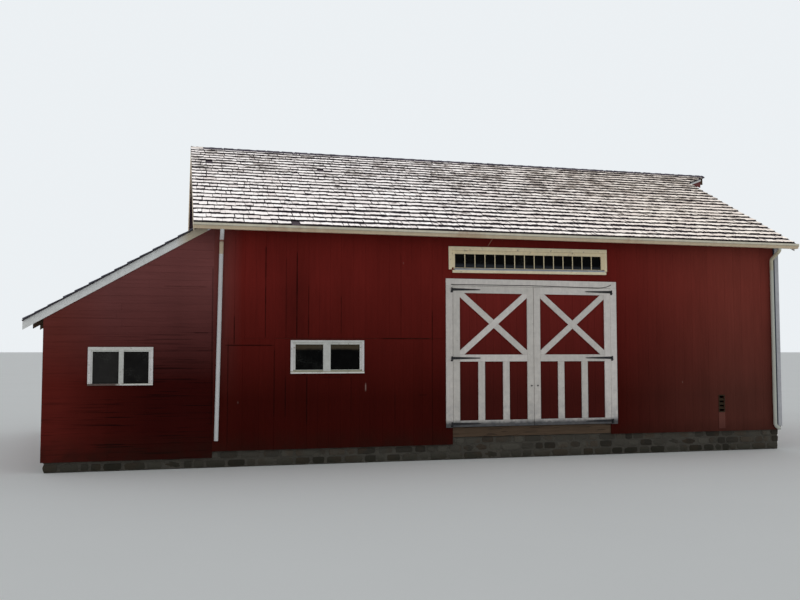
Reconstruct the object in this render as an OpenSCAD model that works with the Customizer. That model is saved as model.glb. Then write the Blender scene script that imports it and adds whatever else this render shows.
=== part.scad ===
// Timber-framed barn with a lean-to, braced double doors, shake roofs and a hay hood.
// Front of the barn faces -Y. X = 0 is the middle of the doorway, Y = 0 is the centre line
// of the front posts, and Z = 0 is the lowest point of the foundations.

/* [Main barn] */
// Doorway's middle to the left end, over the boards
left_length = 6755; // [5600:5:8400]
// Doorway's middle to the right end, over the boards
right_length = 6180; // [5200:5:7800]
// Front boards to back boards
barn_depth = 9400; // [7800:10:11400]
// Top of the main wall plates above the base
plate_z = 4783; // [4700:1:5800]
// Slope of the main roof in degrees
main_pitch = 27.5; // [22:0.1:34]
// Front and back overhang of the roof past the boards
eave_overhang = 270; // [220:5:400]
// Overhang of the roof past the left gable
left_verge = 420; // [300:5:520]
// Overhang of the roof past the right gable
right_verge = 320; // [200:5:420]

/* [Lean-to] */
// Width of the lean-to, over its boards
lean_width = 3120; // [2400:10:3750]
// Height where its roof meets the left gable
lean_top_z = 4940; // [4800:5:5100]
// Slope of its roof in degrees
lean_pitch = 30.5; // [24:0.5:32]
// Overhang past its side wall
lean_eave = 360; // [250:5:450]
// Overhang past its front and back walls
lean_verge = 70; // [40:5:120]

/* [Roof covering] */
// Thickness of the main roof's boards and shakes
roof_t = 60; // [50:1:80]
// Thickness of the lean-to roof's boards and shakes
lean_roof_t = 50; // [45:1:70]
// Thickness of a shake's butt
butt_t = 25; // [15:1:30]
// Courses of shakes on each main slope
main_courses = 23; // [16:1:26]
// How much closer its courses lie towards the ridge, as a share
course_ease = 0.1; // [0:0.02:0.2]
// Courses of shakes on the lean-to roof
lean_courses = 15; // [10:1:18]
// Width of each side of the ridge cap
cap_w = 150; // [100:5:200]
// Thickness of the ridge cap
cap_t = 22; // [15:1:30]

/* [Hay hood] */
// Reach of the hood past the roof's right edge
hood_reach = 1010; // [700:10:1300]
// Half width of the hood where it leaves the roof
hood_half = 700; // [600:10:1100]
// Bottom of the hood's boarded sides below the ridge
hood_drop = 385; // [320:5:520]
// Distance of the hood's boarded sides inside its roof's edge
hood_in = 60; // [40:5:90]
// How far along its reach the boarded sides stop, as a share
hood_end = 0.78; // [0.7:0.01:0.9]

/* [Masonry] */
// Height of the main foundations
base_h = 470; // [400:5:560]
// Thickness of the main foundations
base_t = 450; // [380:5:560]
// Height of the lean-to's foundations
lean_base_h = 350; // [290:5:420]
// Thickness of the lean-to's foundations
lean_base_t = 320; // [270:5:400]
// Thickness of the two dwarf walls under the floor
dwarf_t = 300; // [240:5:360]

/* [Timber] */
// Side of the square main timbers
post = 200; // [170:5:240]
// Side of the square lean-to timbers
lean_post = 150; // [125:5:180]
// Width of a rafter
rafter_w = 75; // [60:1:90]
// Depth of a main rafter
rafter_h = 150; // [125:5:180]
// Depth of a lean-to rafter
lean_rafter_h = 120; // [100:5:140]
// Number of rafters on each main slope
main_rafters = 15; // [11:1:19]
// Number of rafters on the lean-to
lean_rafters = 11; // [8:1:14]
// Heel of a rafter's notch on its plate
heel = 50; // [35:1:60]
// How far the rafters' tails stop inside the roof's edge
tail_in = 38; // [30:1:50]
// Thickness of the ridge board
ridge_board_t = 40; // [30:1:50]
// Depth of the ridge board
ridge_board_h = 200; // [160:5:240]
// Side of a knee brace
brace = 110; // [90:5:130]
// Reach of a knee brace along post and beam
brace_reach = 850; // [650:10:1000]
// Depth of a wall girt
girt_h = 110; // [90:5:130]
// Thickness of a wall girt
girt_t = 100; // [80:5:120]
// Thickness of the floor planks
floor_t = 50; // [40:1:60]
// Width of a floor joist
joist_w = 80; // [65:1:95]
// Number of floor joists
joists = 17; // [12:1:20]

/* [Boards] */
// Thickness of the wall boards
board_t = 25; // [20:1:30]
// Thickness of casings and rake boards
trim_t = 25; // [20:1:30]
// Bottom edge of the boards left of the doorway
left_hem_z = 320; // [200:5:460]
// Bottom edge of the boards right of the doorway
right_hem_z = 450; // [300:5:460]
// Bottom edge of the lean-to's boards
lean_hem_z = 200; // [100:5:340]
// Depth of the main rake boards
rake_h = 150; // [120:5:180]
// Depth of the lean-to's rake boards
lean_rake_h = 140; // [110:5:180]
// Depth of the strips along the hood's edges
hood_strip_h = 70; // [50:5:90]
// Width of the white board at the right corner
corner_w = 105; // [80:5:130]
// How much higher it ends than the boards' bottom edge
corner_up = 85; // [0:5:120]

/* [Doorway] */
// Clear width between the casings
door_w = 3660; // [3050:10:3700]
// Clear height above the floor
door_h = 2980; // [2600:10:3200]
// Width of the casing boards
casing_w = 150; // [120:5:180]
// Gap round a leaf
leaf_gap = 5; // [5:1:10]
// Gap between the two leaves
meeting_gap = 8; // [8:1:14]
// Gap under a leaf
sill_gap = 10; // [8:1:20]
// Thickness of a leaf's boards
leaf_board_t = 25; // [20:1:30]
// Thickness of a leaf's frame
leaf_frame_t = 25; // [20:1:30]
// Width of a leaf's stiles and rails
stile_w = 148; // [120:2:170]
// Width of a leaf's cross braces
cross_w = 128; // [100:2:150]
// Height of the middle rail's centre above the floor
mid_rail_z = 1452; // [1300:2:1600]
// How far the posts and the head stand in behind the leaves
stop_w = 40; // [30:1:55]

/* [Strap hinges] */
// Length of a strap from its pin
strap_l = 650; // [540:5:760]
// Width of a strap at its barrel
strap_w = 56; // [46:1:66]
// Width of a strap near its tip
strap_tip_w = 20; // [14:1:28]
// Thickness of a strap
strap_t = 8; // [6:0.5:10]
// Radius of the hinge pin
pin_r = 9; // [7:0.5:11]
// Radius of the barrel round the pin
barrel_r = 15; // [13:0.5:19]
// Running clearance round the pin
pin_play = 0.08; // [0.05:0.01:0.1]
// Distance of the pin outside the leaf's edge
pin_out = 32; // [24:1:40]
// Height of a barrel over its strap's width
barrel_over = 8; // [4:1:14]
// Thickness of a pin's bracket
bracket_t = 12; // [8:1:14]
// Width of a pin's bracket and height of its plate
bracket_w = 44; // [36:2:50]

/* [Windows] */
// Middle of the main window
window_x = -4488; // [-4700:2:-4000]
// Width over the casing of the main window
window_w = 1504; // [1250:2:1800]
// Height over the casing of the main window
window_h = 670; // [560:2:800]
// Bottom of the main window's casing
window_z = 1820; // [1700:5:2000]
// Middle of the lean-to window, from the main barn's left end
lean_window_in = 1725; // [1500:5:1900]
// Width over the casing of the lean-to window
lean_window_w = 1190; // [990:2:1430]
// Height over the casing of the lean-to window
lean_window_h = 730; // [600:2:780]
// Bottom of the lean-to window's casing
lean_window_z = 1620; // [1500:5:1700]
// Width of the upright between the main window's panes
mullion_w = 150; // [120:5:180]
// Width of the upright between the lean-to window's panes
lean_mullion_w = 115; // [95:5:140]
// Middle of the row of panes over the doorway
transom_x = -75; // [-90:5:60]
// How much shorter the row is than the door casing at each end
transom_in = 140; // [130:5:170]
// Height over the casing of the row of panes
transom_h = 560; // [480:5:600]
// Bottom of the row's casing above the door casing
transom_rise = 130; // [100:5:150]
// Width of a window's casing with the sash inside it
sash_w = 105; // [90:1:120]
// Width of the row's casing and sash at its sides
transom_side = 140; // [120:2:170]
// Height of the row's casing and sash above the panes
transom_head = 156; // [130:2:180]
// Height of the row's sill under the panes
transom_sill = 112; // [90:2:120]
// Part of a window's casing that is the sash inside it
sash_in = 45; // [30:1:60]
// Part of the row's casing that is the sash inside it
transom_sash_in = 76; // [50:1:90]
// How far a sash stands back from its casing's face
sash_back = 8; // [5:1:12]
// Height of a sill's nose
nose_h = 40; // [30:1:48]
// How far a sill's nose stands out from the casing
nose_out = 22; // [12:1:35]
// How much shorter the row's sill is than its casing at each end
transom_nose_in = 80; // [0:5:120]
// How far a window's frame reaches past its panes in the wall
liner_t = 30; // [20:1:40]
// Thickness of glass
glass_t = 6; // [4:0.5:8]

/* [Vent] */
// Middle of the vent from the doorway's middle
vent_x = 4620; // [4200:5:5000]
// Bottom of the vent
vent_z = 880; // [800:5:1000]
// Width of the vent
vent_w = 160; // [150:5:240]
// Height of the vent
vent_h = 390; // [330:5:460]
// Width of the vent's frame
vent_frame = 20; // [15:1:26]
// Thickness of the vent's frame on the boards
vent_frame_t = 10; // [6:1:14]
// Thickness of the vent's slats
slat_t = 14; // [10:1:18]
// Rise of a slat through the wall
slat_rise = 48; // [30:1:60]
// Number of slats
slats = 3; // [2:1:3]

/* [Gutter and downspouts] */
// Width of the gutter
gutter_w = 120; // [100:2:140]
// Height of the gutter's front
gutter_h = 110; // [96:1:130]
// Height of the gutter's back
gutter_back_h = 92; // [80:1:100]
// Number of lengths the gutter is joined from
gutter_lengths = 5; // [4:1:6]
// Gap between two lengths of gutter at their joint
gutter_joint = 2; // [1:0.5:4]
// Thickness of sheet metal
sheet_t = 3; // [2:0.5:4]
// Radius of a downspout
spout_r = 40; // [33:1:46]
// Bend radius at the middle of a downspout's elbows
elbow_r = 90; // [75:1:110]
// Gap between a downspout and the boards
spout_gap = 30; // [22:1:40]
// Depth of a downspout's upper corner under the gutter
spout_drop = 60; // [50:5:90]
// Height of its slanting piece between the corners
spout_slant = 180; // [160:5:240]
// Distance of the left downspout from the left end
left_spout_in = 130; // [100:5:200]
// How far the left downspout leans to the left at its bottom
left_spout_lean = 60; // [0:5:80]
// Distance of the right downspout from the right end
right_spout_in = 200; // [160:5:260]
// Shift of the right outlet from its downspout towards the right end
right_outlet_out = 45; // [0:5:80]
// Sideways reach of the right downspout's shoe
shoe_out = 110; // [80:5:125]
// Depth of the right downspout's shoe under its corner
shoe_drop = 65; // [50:5:90]
// Bottom of the left downspout
left_spout_z = 530; // [470:5:620]
// Bottom of the right downspout
right_spout_z = 485; // [400:5:540]

/* [Hidden] */
$fn = 48;

red = [0.36, 0.08, 0.08];
white = [0.80, 0.79, 0.74];
shake = [0.66, 0.63, 0.58];
timber = [0.42, 0.33, 0.25];
stone = [0.55, 0.53, 0.50];
iron = [0.08, 0.08, 0.08];

// Clearance between pieces that meet but are not joined
fit = 5;
// Gap left between sloping faces that bear on each other
seat = 0.1;

// Faces of the walls, from which all else is placed
face_y = -post / 2 - board_t;
frame_y = -post / 2;
frame_xl = -left_length + board_t;
frame_xr = right_length - board_t;
back_y = barn_depth - 2 * (post / 2 + board_t);
back_frame_y = back_y + post / 2;
back_face_y = back_frame_y + board_t;
ridge_y = back_y / 2;
floor_z = base_h + post;
casing_y = face_y - trim_t;
fascia_t = 30;

// Main roof: line of the rafters' undersides, and of the boards they carry
function under_z(y) = plate_z - heel + (y - frame_y) * tan(main_pitch);
function deck_z(y) = under_z(y) + rafter_h / cos(main_pitch);
verge_xl = -left_length - left_verge;
verge_xr = right_length + right_verge;
eave_y = face_y - eave_overhang;
slope_run = ridge_y - eave_y;
tail_y = eave_y + tail_in;
ridge_z = deck_z(ridge_y) + roof_t / cos(main_pitch);
ridge_end_x = verge_xr + hood_reach * 0.9;

// Lean-to roof: the same three lines, rising towards the main barn
lean_xl = -left_length - lean_width;
lean_frame_x = lean_xl + board_t;
function lean_top(x) = lean_top_z + (x + left_length) * tan(lean_pitch);
function lean_deck(x) = lean_top(x) - lean_roof_t / cos(lean_pitch);
function lean_under(x) = lean_deck(x) - lean_rafter_h / cos(lean_pitch);
lean_notch = heel * 0.8;
lean_plate_z = lean_under(lean_frame_x) + lean_notch;
lean_eave_x = lean_xl - lean_eave;
ledger_t = 50;
ledger_x = -left_length - ledger_t;
lean_front_y = frame_y + lean_post / 2;
lean_back_y = back_frame_y - lean_post / 2;
lean_window_x = -left_length - lean_window_in;
lean_bays = 3;
function lean_post_y(k) = round(lean_front_y + k * (lean_back_y - lean_front_y) / lean_bays);

// Bents: rows of posts across the barn; the middle two flank the doorway
door_post_x = door_w / 2 - stop_w + post / 2;
bents = [frame_xl + post / 2, -door_post_x, door_post_x, frame_xr - post / 2];
post_top_z = plate_z - post;
tie_z = post_top_z - post;
hem_top_z = under_z(face_y) - fit;

// Undersides of the girts: under and over the windows, and below the knee braces
low_girt_z = window_z - girt_h;
high_girt_z = window_z + window_h;
top_girt_z = tie_z - brace_reach - girt_h - fit;
lean_low_girt_z = lean_window_z - girt_h;
lean_high_girt_z = lean_window_z + lean_window_h;
// The side wall's upper girt stays under the lean-to's plate
lean_side_girt_z = min(lean_high_girt_z, lean_plate_z - lean_post - girt_h - fit);

// Doorway
leaf_w = (door_w - 2 * leaf_gap - meeting_gap) / 2;
leaf_z = floor_z + sill_gap;
head_z = floor_z + door_h;
leaf_h = door_h - sill_gap - leaf_gap;
leaf_front_y = casing_y - fit;
leaf_back_y = leaf_front_y + leaf_frame_t + leaf_board_t;
header_z = head_z - stop_w;
casing_top_z = head_z + casing_w;
transom_z = casing_top_z + transom_rise;
transom_w = door_w + 2 * casing_w - 2 * transom_in;
pin_x = door_w / 2 - leaf_gap + pin_out;
pin_y = leaf_front_y - barrel_r - 1;
foot_rail_h = stile_w * 0.9;
rail_z = [foot_rail_h / 2, mid_rail_z - sill_gap, leaf_h - stile_w / 2];
slat_count = 2;
barrel_h = strap_w + barrel_over;
tip_from = strap_l - 40;

// Windows: middle, bottom, width, height, side, sill, head, sash, uprights and their width
glass_y = face_y + board_t / 2;
main_window = [window_x, window_z, window_w, window_h, sash_w, sash_w, sash_w, sash_in, 1, mullion_w];
lean_window = [lean_window_x, lean_window_z, lean_window_w, lean_window_h, sash_w, sash_w, sash_w,
               sash_in, 1, lean_mullion_w];
transom = [transom_x, transom_z, transom_w, transom_h, transom_side, transom_sill, transom_head,
           transom_sash_in, 0, 0];
function pane_x0(w) = w[0] - w[2] / 2 + w[4];
function pane_x1(w) = w[0] + w[2] / 2 - w[4];
function pane_z0(w) = w[1] + w[5];
function pane_z1(w) = w[1] + w[3] - w[6];

// Gutter and downspouts
gutter_back_y = tail_y - fascia_t;
gutter_z = deck_z(eave_y) - gutter_back_h - 3 * fit;
gutter_floor_w = gutter_w * 0.76;
gutter_knee_z = gutter_h * 0.22;
gutter_belly_z = gutter_h * 0.55;
outlet_y = gutter_back_y - gutter_floor_w / 2;
spout_y = face_y - spout_gap - spout_r;
left_spout_x = -left_length + left_spout_in;
right_spout_x = right_length - right_spout_in;
right_outlet_x = right_spout_x + right_outlet_out;

// A slab from x0 to x1 whose profile is drawn in Y and Z
module along_x(x0, x1) {
  translate([x0, 0, 0]) rotate([90, 0, 90]) linear_extrude(x1 - x0) children();
}

// A slab from y0 to y1 whose profile is drawn in X and Z
module along_y(y0, y1) {
  translate([0, y1, 0]) rotate([90, 0, 0]) linear_extrude(y1 - y0) children();
}

// A box between two corners
module block(a, b) {
  translate(a) cube(b - a);
}

// Point at s along a slope and h above its boards' underside
function slope_pt(s, h, pitch) = [s * cos(pitch) - h * sin(pitch), s * sin(pitch) + h * cos(pitch)];

// Length of a slope along its boards, and of its shakes up to a plumb cut at its top
function slope_len(run, pitch) = run / cos(pitch);
function shake_len(run, pitch, t) = (run + (t - butt_t) * sin(pitch)) / cos(pitch);

// Where the k-th of n courses starts, as a share of its slope
function course_at(k, n, ease) = k / n * (1 + ease * (1 - k / n));

// Shake-covered slope over a horizontal run, from its lower edge at the origin:
// each course starts with its butt and thins towards the next one
module course_profile(run, pitch, courses, t, ease = 0) {
  slope = slope_len(run, pitch);
  last = shake_len(run, pitch, t);
  polygon(concat(
    [slope_pt(0, 0, pitch)],
    [for (k = [0:courses - 1], end = [0, 1])
      end == 0 ? slope_pt(slope * course_at(k, courses, ease), t, pitch)
               : slope_pt(k == courses - 1 ? last : slope * course_at(k + 1, courses, ease),
                          t - butt_t, pitch)],
    [[run, run * tan(pitch)]]));
}

module main_slope(x0, x1) {
  along_x(x0, x1) translate([eave_y, deck_z(eave_y)])
    course_profile(slope_run, main_pitch, main_courses, roof_t, course_ease);
}

// Mirrors a piece of the front half to the back half
module to_back() {
  translate([0, 2 * ridge_y, 0]) mirror([0, 1, 0]) children();
}

module both_halves() {
  children();
  to_back() children();
}

// Space that the main roof's left overhang takes, with its clearance
module main_overhang_space() {
  both_halves() along_x(verge_xl - fit, -left_length + 1)
    polygon([[eave_y - 400, deck_z(eave_y - 400) - fit], [ridge_y + 1, deck_z(ridge_y) - fit],
             [ridge_y + 1, ridge_z], [eave_y - 400, ridge_z]]);
}

module front_foundation() color(stone) {
  block([frame_xl, frame_y, 0], [frame_xr, frame_y + base_t, base_h]);
  block([lean_frame_x, frame_y, 0], [frame_xl, frame_y + lean_base_t, lean_base_h]);
}

module back_foundation() color(stone) to_back() {
  block([frame_xl, frame_y, 0], [frame_xr, frame_y + base_t, base_h]);
  block([lean_frame_x, frame_y, 0], [frame_xl, frame_y + lean_base_t, lean_base_h]);
}

module cross_foundations() color(stone) {
  y0 = frame_y + base_t;
  y1 = back_frame_y - base_t;
  block([frame_xl, y0, 0], [frame_xl + base_t, y1, base_h]);
  block([frame_xr - base_t, y0, 0], [frame_xr, y1, base_h]);
  block([lean_frame_x, frame_y + lean_base_t, 0],
        [lean_frame_x + lean_base_t, back_frame_y - lean_base_t, lean_base_h]);
}

module floor_dwarf_walls() color(stone) {
  for (y = [back_y / 3, 2 * back_y / 3])
    block([frame_xl + base_t, y - dwarf_t / 2, 0], [frame_xr - base_t, y + dwarf_t / 2, base_h]);
}

module long_sills() color(timber) {
  both_halves() block([frame_xl, frame_y, base_h], [frame_xr, frame_y + post, floor_z]);
}

module gable_sills() color(timber) {
  for (x = [frame_xl, frame_xr - post])
    block([x, frame_y + post, base_h], [x + post, back_frame_y - post, floor_z]);
}

module posts() color(timber) {
  for (x = bents, y = [0, back_y])
    block([x - post / 2, y - post / 2, floor_z], [x + post / 2, y + post / 2, post_top_z]);
  for (k = [0:lean_bays]) {
    y = lean_post_y(k);
    block([lean_frame_x, y - lean_post / 2, lean_base_h],
          [lean_frame_x + lean_post, y + lean_post / 2, lean_plate_z - lean_post]);
  }
}

module wall_plates() color(timber) {
  both_halves() block([frame_xl, frame_y, post_top_z], [frame_xr, frame_y + post, plate_z]);
  block([lean_frame_x, frame_y, lean_plate_z - lean_post],
        [lean_frame_x + lean_post, back_frame_y, lean_plate_z]);
  block([ledger_x, frame_y, lean_under(ledger_x)],
        [-left_length, back_frame_y, lean_deck(ledger_x) - fit]);
}

module tie_beams() color(timber) {
  for (x = bents)
    block([x - post / 2, frame_y + post, tie_z], [x + post / 2, back_frame_y - post, post_top_z]);
}

module knee_braces() color(timber) {
  for (x = bents) both_halves() along_x(x - brace / 2, x + brace / 2)
    polygon([[post / 2, tie_z - brace_reach], [post / 2, tie_z - brace_reach + brace * sqrt(2)],
             [post / 2 + brace_reach - brace * sqrt(2), tie_z], [post / 2 + brace_reach, tie_z]]);
}

// Girts between the bents of a long wall, over or under the windows
module long_wall_girts(gaps) {
  for (g = gaps, z = g[1])
    block([bents[g[0]] + post / 2, frame_y, z],
          [bents[g[0] + 1] - post / 2, frame_y + girt_t, z + girt_h]);
}

module wall_girts() color(timber) {
  side_z = [low_girt_z, high_girt_z, top_girt_z];
  long_wall_girts([[0, side_z], [2, side_z]]);
  block([bents[1] + post / 2, frame_y, header_z], [bents[2] - post / 2, frame_y + post, header_z + post]);
  to_back() long_wall_girts([[0, side_z], [1, side_z], [2, side_z]]);
  // Right gable: between its posts
  for (z = side_z)
    block([frame_xr - girt_t, post / 2, z], [frame_xr, back_y - post / 2, z + girt_h]);
  // Lean-to: side wall between its posts, and both end walls to the main corner posts
  for (k = [0:lean_bays - 1], z = [lean_base_h, lean_low_girt_z, lean_side_girt_z])
    block([lean_frame_x, lean_post_y(k) + lean_post / 2, z],
          [lean_frame_x + girt_t, lean_post_y(k + 1) - lean_post / 2, z + girt_h]);
  both_halves() for (z = [lean_base_h, lean_low_girt_z, lean_high_girt_z])
    block([lean_frame_x + lean_post, frame_y, z], [frame_xl, frame_y + girt_t, z + girt_h]);
}

// Main rafter, notched over its plate and cut level at its tail
module rafter_profile() {
  seat_y = frame_y + heel / tan(main_pitch);
  level_z = gutter_z + heel / 2;
  level_y = frame_y - (under_z(frame_y) - level_z) / tan(main_pitch);
  top_y = ridge_y - ridge_board_t / 2;
  polygon([[tail_y, level_z], [tail_y, deck_z(tail_y) - seat], [top_y, deck_z(top_y) - seat],
           [top_y, under_z(top_y)],
           [seat_y, plate_z], [frame_y, plate_z], [frame_y, under_z(frame_y)], [level_y, level_z]]);
}

// Lean-to rafter, notched over its plate and butted on the ledger
module lean_rafter_profile() {
  seat_x = lean_frame_x + lean_notch / tan(lean_pitch);
  tail_x = lean_eave_x + tail_in;
  polygon([[tail_x, lean_under(tail_x)], [tail_x, lean_deck(tail_x) - seat],
           [ledger_x, lean_deck(ledger_x) - seat],
           [ledger_x, lean_under(ledger_x)], [seat_x, lean_plate_z], [lean_frame_x, lean_plate_z],
           [lean_frame_x, lean_under(lean_frame_x)]]);
}

module rafters() color(timber) {
  step = (frame_xr - frame_xl - rafter_w) / (main_rafters - 1);
  both_halves() for (k = [0:main_rafters - 1])
    along_x(frame_xl + k * step, frame_xl + k * step + rafter_w) rafter_profile();
  lean_step = (back_frame_y - frame_y - rafter_w) / (lean_rafters - 1);
  difference() {
    for (k = [0:lean_rafters - 1])
      along_y(frame_y + k * lean_step, frame_y + k * lean_step + rafter_w) lean_rafter_profile();
    main_overhang_space();
  }
}

module ridge_board() color(timber) {
  top = deck_z(ridge_y - ridge_board_t / 2) - seat;
  block([verge_xl, ridge_y - ridge_board_t / 2, top - ridge_board_h],
        [ridge_end_x, ridge_y + ridge_board_t / 2, top]);
}

module floor_joists() color(timber) {
  x0 = frame_xl + post;
  x1 = frame_xr - post - joist_w;
  for (k = [0:joists - 1]) {
    x = x0 + k * (x1 - x0) / (joists - 1);
    block([x, frame_y + post, base_h], [x + joist_w, back_frame_y - post, floor_z - floor_t]);
  }
}

module barn_floor() color(timber) {
  block([frame_xl + post, frame_y + post, floor_z - floor_t],
        [frame_xr - post, back_frame_y - post, floor_z]);
}

module front_wall_left() color(red) difference() {
  block([-left_length, face_y, left_hem_z], [-door_w / 2, frame_y, hem_top_z]);
  window_hole(main_window);
}

module front_wall_over_door() color(red) difference() {
  block([-door_w / 2, face_y, head_z], [door_w / 2, frame_y, hem_top_z]);
  window_hole(transom);
}

module front_wall_right() color(red) difference() {
  block([door_w / 2, face_y, right_hem_z], [right_length, frame_y, hem_top_z]);
  vent_hole(face_y - 1, frame_y + 1);
}

module back_wall() color(red) {
  block([-left_length, back_frame_y, right_hem_z], [right_length, back_face_y, hem_top_z]);
}

// Gable boards between the long walls, up to the roof boards and notched round the ridge board
module gable_profile(bottom) {
  notch = ridge_board_t / 2 + fit;
  difference() {
    polygon([[frame_y, bottom], [frame_y, deck_z(frame_y) - fit], [ridge_y, deck_z(ridge_y) - fit],
             [back_frame_y, deck_z(frame_y) - fit], [back_frame_y, bottom]]);
    translate([ridge_y - notch, deck_z(ridge_y - ridge_board_t / 2) - ridge_board_h - fit])
      square([2 * notch, ridge_board_h * 2]);
  }
}

module left_gable_wall() color(red) {
  along_x(-left_length, frame_xl) gable_profile(tie_z);
}

module right_gable_wall() color(red) {
  along_x(frame_xr, right_length) gable_profile(right_hem_z);
}

// End wall of the lean-to, under its sloping roof
module lean_end_profile() {
  polygon([[lean_xl, lean_hem_z], [lean_xl, lean_deck(lean_xl) - fit],
           [-left_length, lean_deck(-left_length) - fit], [-left_length, lean_hem_z]]);
}

module lean_to_front_wall() color(red) difference() {
  along_y(face_y, frame_y) lean_end_profile();
  main_overhang_space();
  window_hole(lean_window);
}

module lean_to_back_wall() color(red) difference() {
  along_y(back_frame_y, back_face_y) lean_end_profile();
  main_overhang_space();
}

module lean_to_side_wall() color(red) {
  block([lean_xl, frame_y, lean_hem_z], [lean_frame_x, back_frame_y, lean_under(lean_xl) - fit]);
}

module main_roof_front() color(shake) main_slope(verge_xl, verge_xr);

module main_roof_back() color(shake) to_back() main_slope(verge_xl, verge_xr);

// Ridge cap: lies on the last course of both slopes
module ridge_cap() color(shake) {
  last = shake_len(slope_run, main_pitch, roof_t);
  start = slope_len(slope_run, main_pitch) * course_at(main_courses - 1, main_courses, course_ease);
  s0 = last - cap_w;
  low_h = roof_t - butt_t * (s0 - start) / (last - start);
  top_z = slope_pt(last, roof_t - butt_t, main_pitch)[1];
  both_halves() along_x(verge_xl, ridge_end_x) translate([eave_y, deck_z(eave_y)])
    polygon([slope_pt(s0, low_h, main_pitch), slope_pt(s0, low_h + cap_t, main_pitch),
             [slope_run, top_z + cap_t / cos(main_pitch)], [slope_run, top_z]]);
}

module lean_to_roof() color(shake) difference() {
  run = -left_length - fit - lean_eave_x;
  along_y(face_y - lean_verge, back_face_y + lean_verge)
    translate([lean_eave_x, lean_deck(lean_eave_x)])
      course_profile(run, lean_pitch, lean_courses, lean_roof_t);
  main_overhang_space();
}

// Space that the lean-to's roof takes next to the main barn, with its clearance
module lean_roof_space() {
  along_y(face_y - lean_verge - fit, back_face_y + lean_verge + fit)
    polygon([[lean_eave_x, 0], [lean_eave_x, lean_top(lean_eave_x) + fit],
             [-left_length, lean_top(-left_length) + fit], [-left_length, 0]]);
}

// Hay hood: the two slopes run on to a point past the right gable
module hood_plan(half, reach) {
  polygon([[verge_xr, ridge_y - half], [verge_xr + reach, ridge_y], [verge_xr, ridge_y + half]]);
}

module hay_hood_roof() color(shake) intersection() {
  both_halves() main_slope(verge_xr, verge_xr + hood_reach);
  translate([0, 0, plate_z]) linear_extrude(ridge_z) hood_plan(hood_half, hood_reach);
}

// Ring in plan along the hood's edges, between two distances inside its roof's edge
module hood_ring(outer, inner) {
  difference() {
    hood_plan(hood_half - outer, hood_reach - outer * hood_reach / hood_half);
    hood_plan(hood_half - inner, hood_reach - inner * hood_reach / hood_half);
  }
}

// Boards with a profile in Y and Z that follow a ring under the hood's roof
module hood_boards(outer, inner, start_x) {
  difference() {
    intersection() {
      translate([0, 0, plate_z]) linear_extrude(ridge_z) hood_ring(outer, inner);
      both_halves() along_x(start_x, verge_xr + hood_reach * hood_end) children();
    }
    block([verge_xr, ridge_y - ridge_board_t / 2, plate_z],
          [verge_xr + hood_reach, ridge_y + ridge_board_t / 2, ridge_z]);
  }
}

module hay_hood_sides() color(red) {
  low_z = ridge_z - hood_drop;
  low_y = ridge_y - (deck_z(ridge_y) - seat - low_z) / tan(main_pitch);
  hood_boards(hood_in, hood_in + board_t, verge_xr)
    polygon([[low_y, low_z], [ridge_y, deck_z(ridge_y) - seat], [ridge_y, low_z]]);
}

// Strips on the outside of the hood's sides, along its roof
module hood_strips() {
  y = ridge_y - hood_half;
  hood_boards(hood_in - trim_t, hood_in - seat, verge_xr + fit)
    polygon([[y, deck_z(y) - hood_strip_h], [y, deck_z(y) - seat], [ridge_y, deck_z(ridge_y) - seat],
             [ridge_y, deck_z(ridge_y) - hood_strip_h]]);
}

module front_fascia() color(white) {
  block([verge_xl + trim_t, tail_y - fascia_t, gutter_z + fit],
        [verge_xr - trim_t, tail_y, deck_z(tail_y - fascia_t) - fit]);
}

// Rake board under a verge, from the eave to the ridge board
module rake_profile() {
  y1 = ridge_y - ridge_board_t / 2;
  drop = rake_h / cos(main_pitch);
  polygon([[tail_y, deck_z(tail_y) - drop], [tail_y, deck_z(tail_y) - seat], [y1, deck_z(y1) - seat],
           [y1, deck_z(y1) - drop]]);
}

module rake_boards() color(white) {
  both_halves() along_x(verge_xr - trim_t, verge_xr) rake_profile();
  difference() {
    both_halves() along_x(verge_xl, verge_xl + trim_t) rake_profile();
    lean_roof_space();
  }
  drop = lean_rake_h / cos(lean_pitch);
  difference() {
    both_halves() along_y(casing_y, face_y)
      polygon([[lean_eave_x, lean_deck(lean_eave_x) - drop], [lean_eave_x, lean_deck(lean_eave_x) - seat],
               [-left_length, lean_deck(-left_length) - seat],
               [-left_length, lean_deck(-left_length) - drop]]);
    main_overhang_space();
  }
  hood_strips();
}

module corner_board() color(white) {
  top = under_z(casing_y) - fit;
  low = right_hem_z + corner_up;
  block([right_length - corner_w, casing_y, low], [right_length, face_y, top]);
  block([right_length, casing_y, low], [right_length + trim_t, face_y + corner_w, top]);
}

module door_casing() color(white) difference() {
  block([-door_w / 2 - casing_w, casing_y, floor_z], [door_w / 2 + casing_w, face_y, casing_top_z]);
  block([-door_w / 2, casing_y - 1, floor_z - 1], [door_w / 2, face_y + 1, head_z]);
}

// Cross-section of the gutter: flat back and floor, a front that bellies out
module gutter_outline() {
  polygon([[0, 0], [0, gutter_back_h], [sheet_t, gutter_back_h], [gutter_w - sheet_t, gutter_h],
           [gutter_w, gutter_h], [gutter_w, gutter_belly_z], [gutter_floor_w, gutter_knee_z],
           [gutter_floor_w, 0]]);
}

// Space inside it, open at the top
module gutter_inside() {
  w = gutter_w - sheet_t;
  polygon([[sheet_t, sheet_t], [sheet_t, gutter_back_h + 1], [w / 2, gutter_h + 1], [w, gutter_h + 1],
           [w, gutter_belly_z + sheet_t], [gutter_floor_w - sheet_t, gutter_knee_z + sheet_t],
           [gutter_floor_w - sheet_t, sheet_t]]);
}

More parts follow.
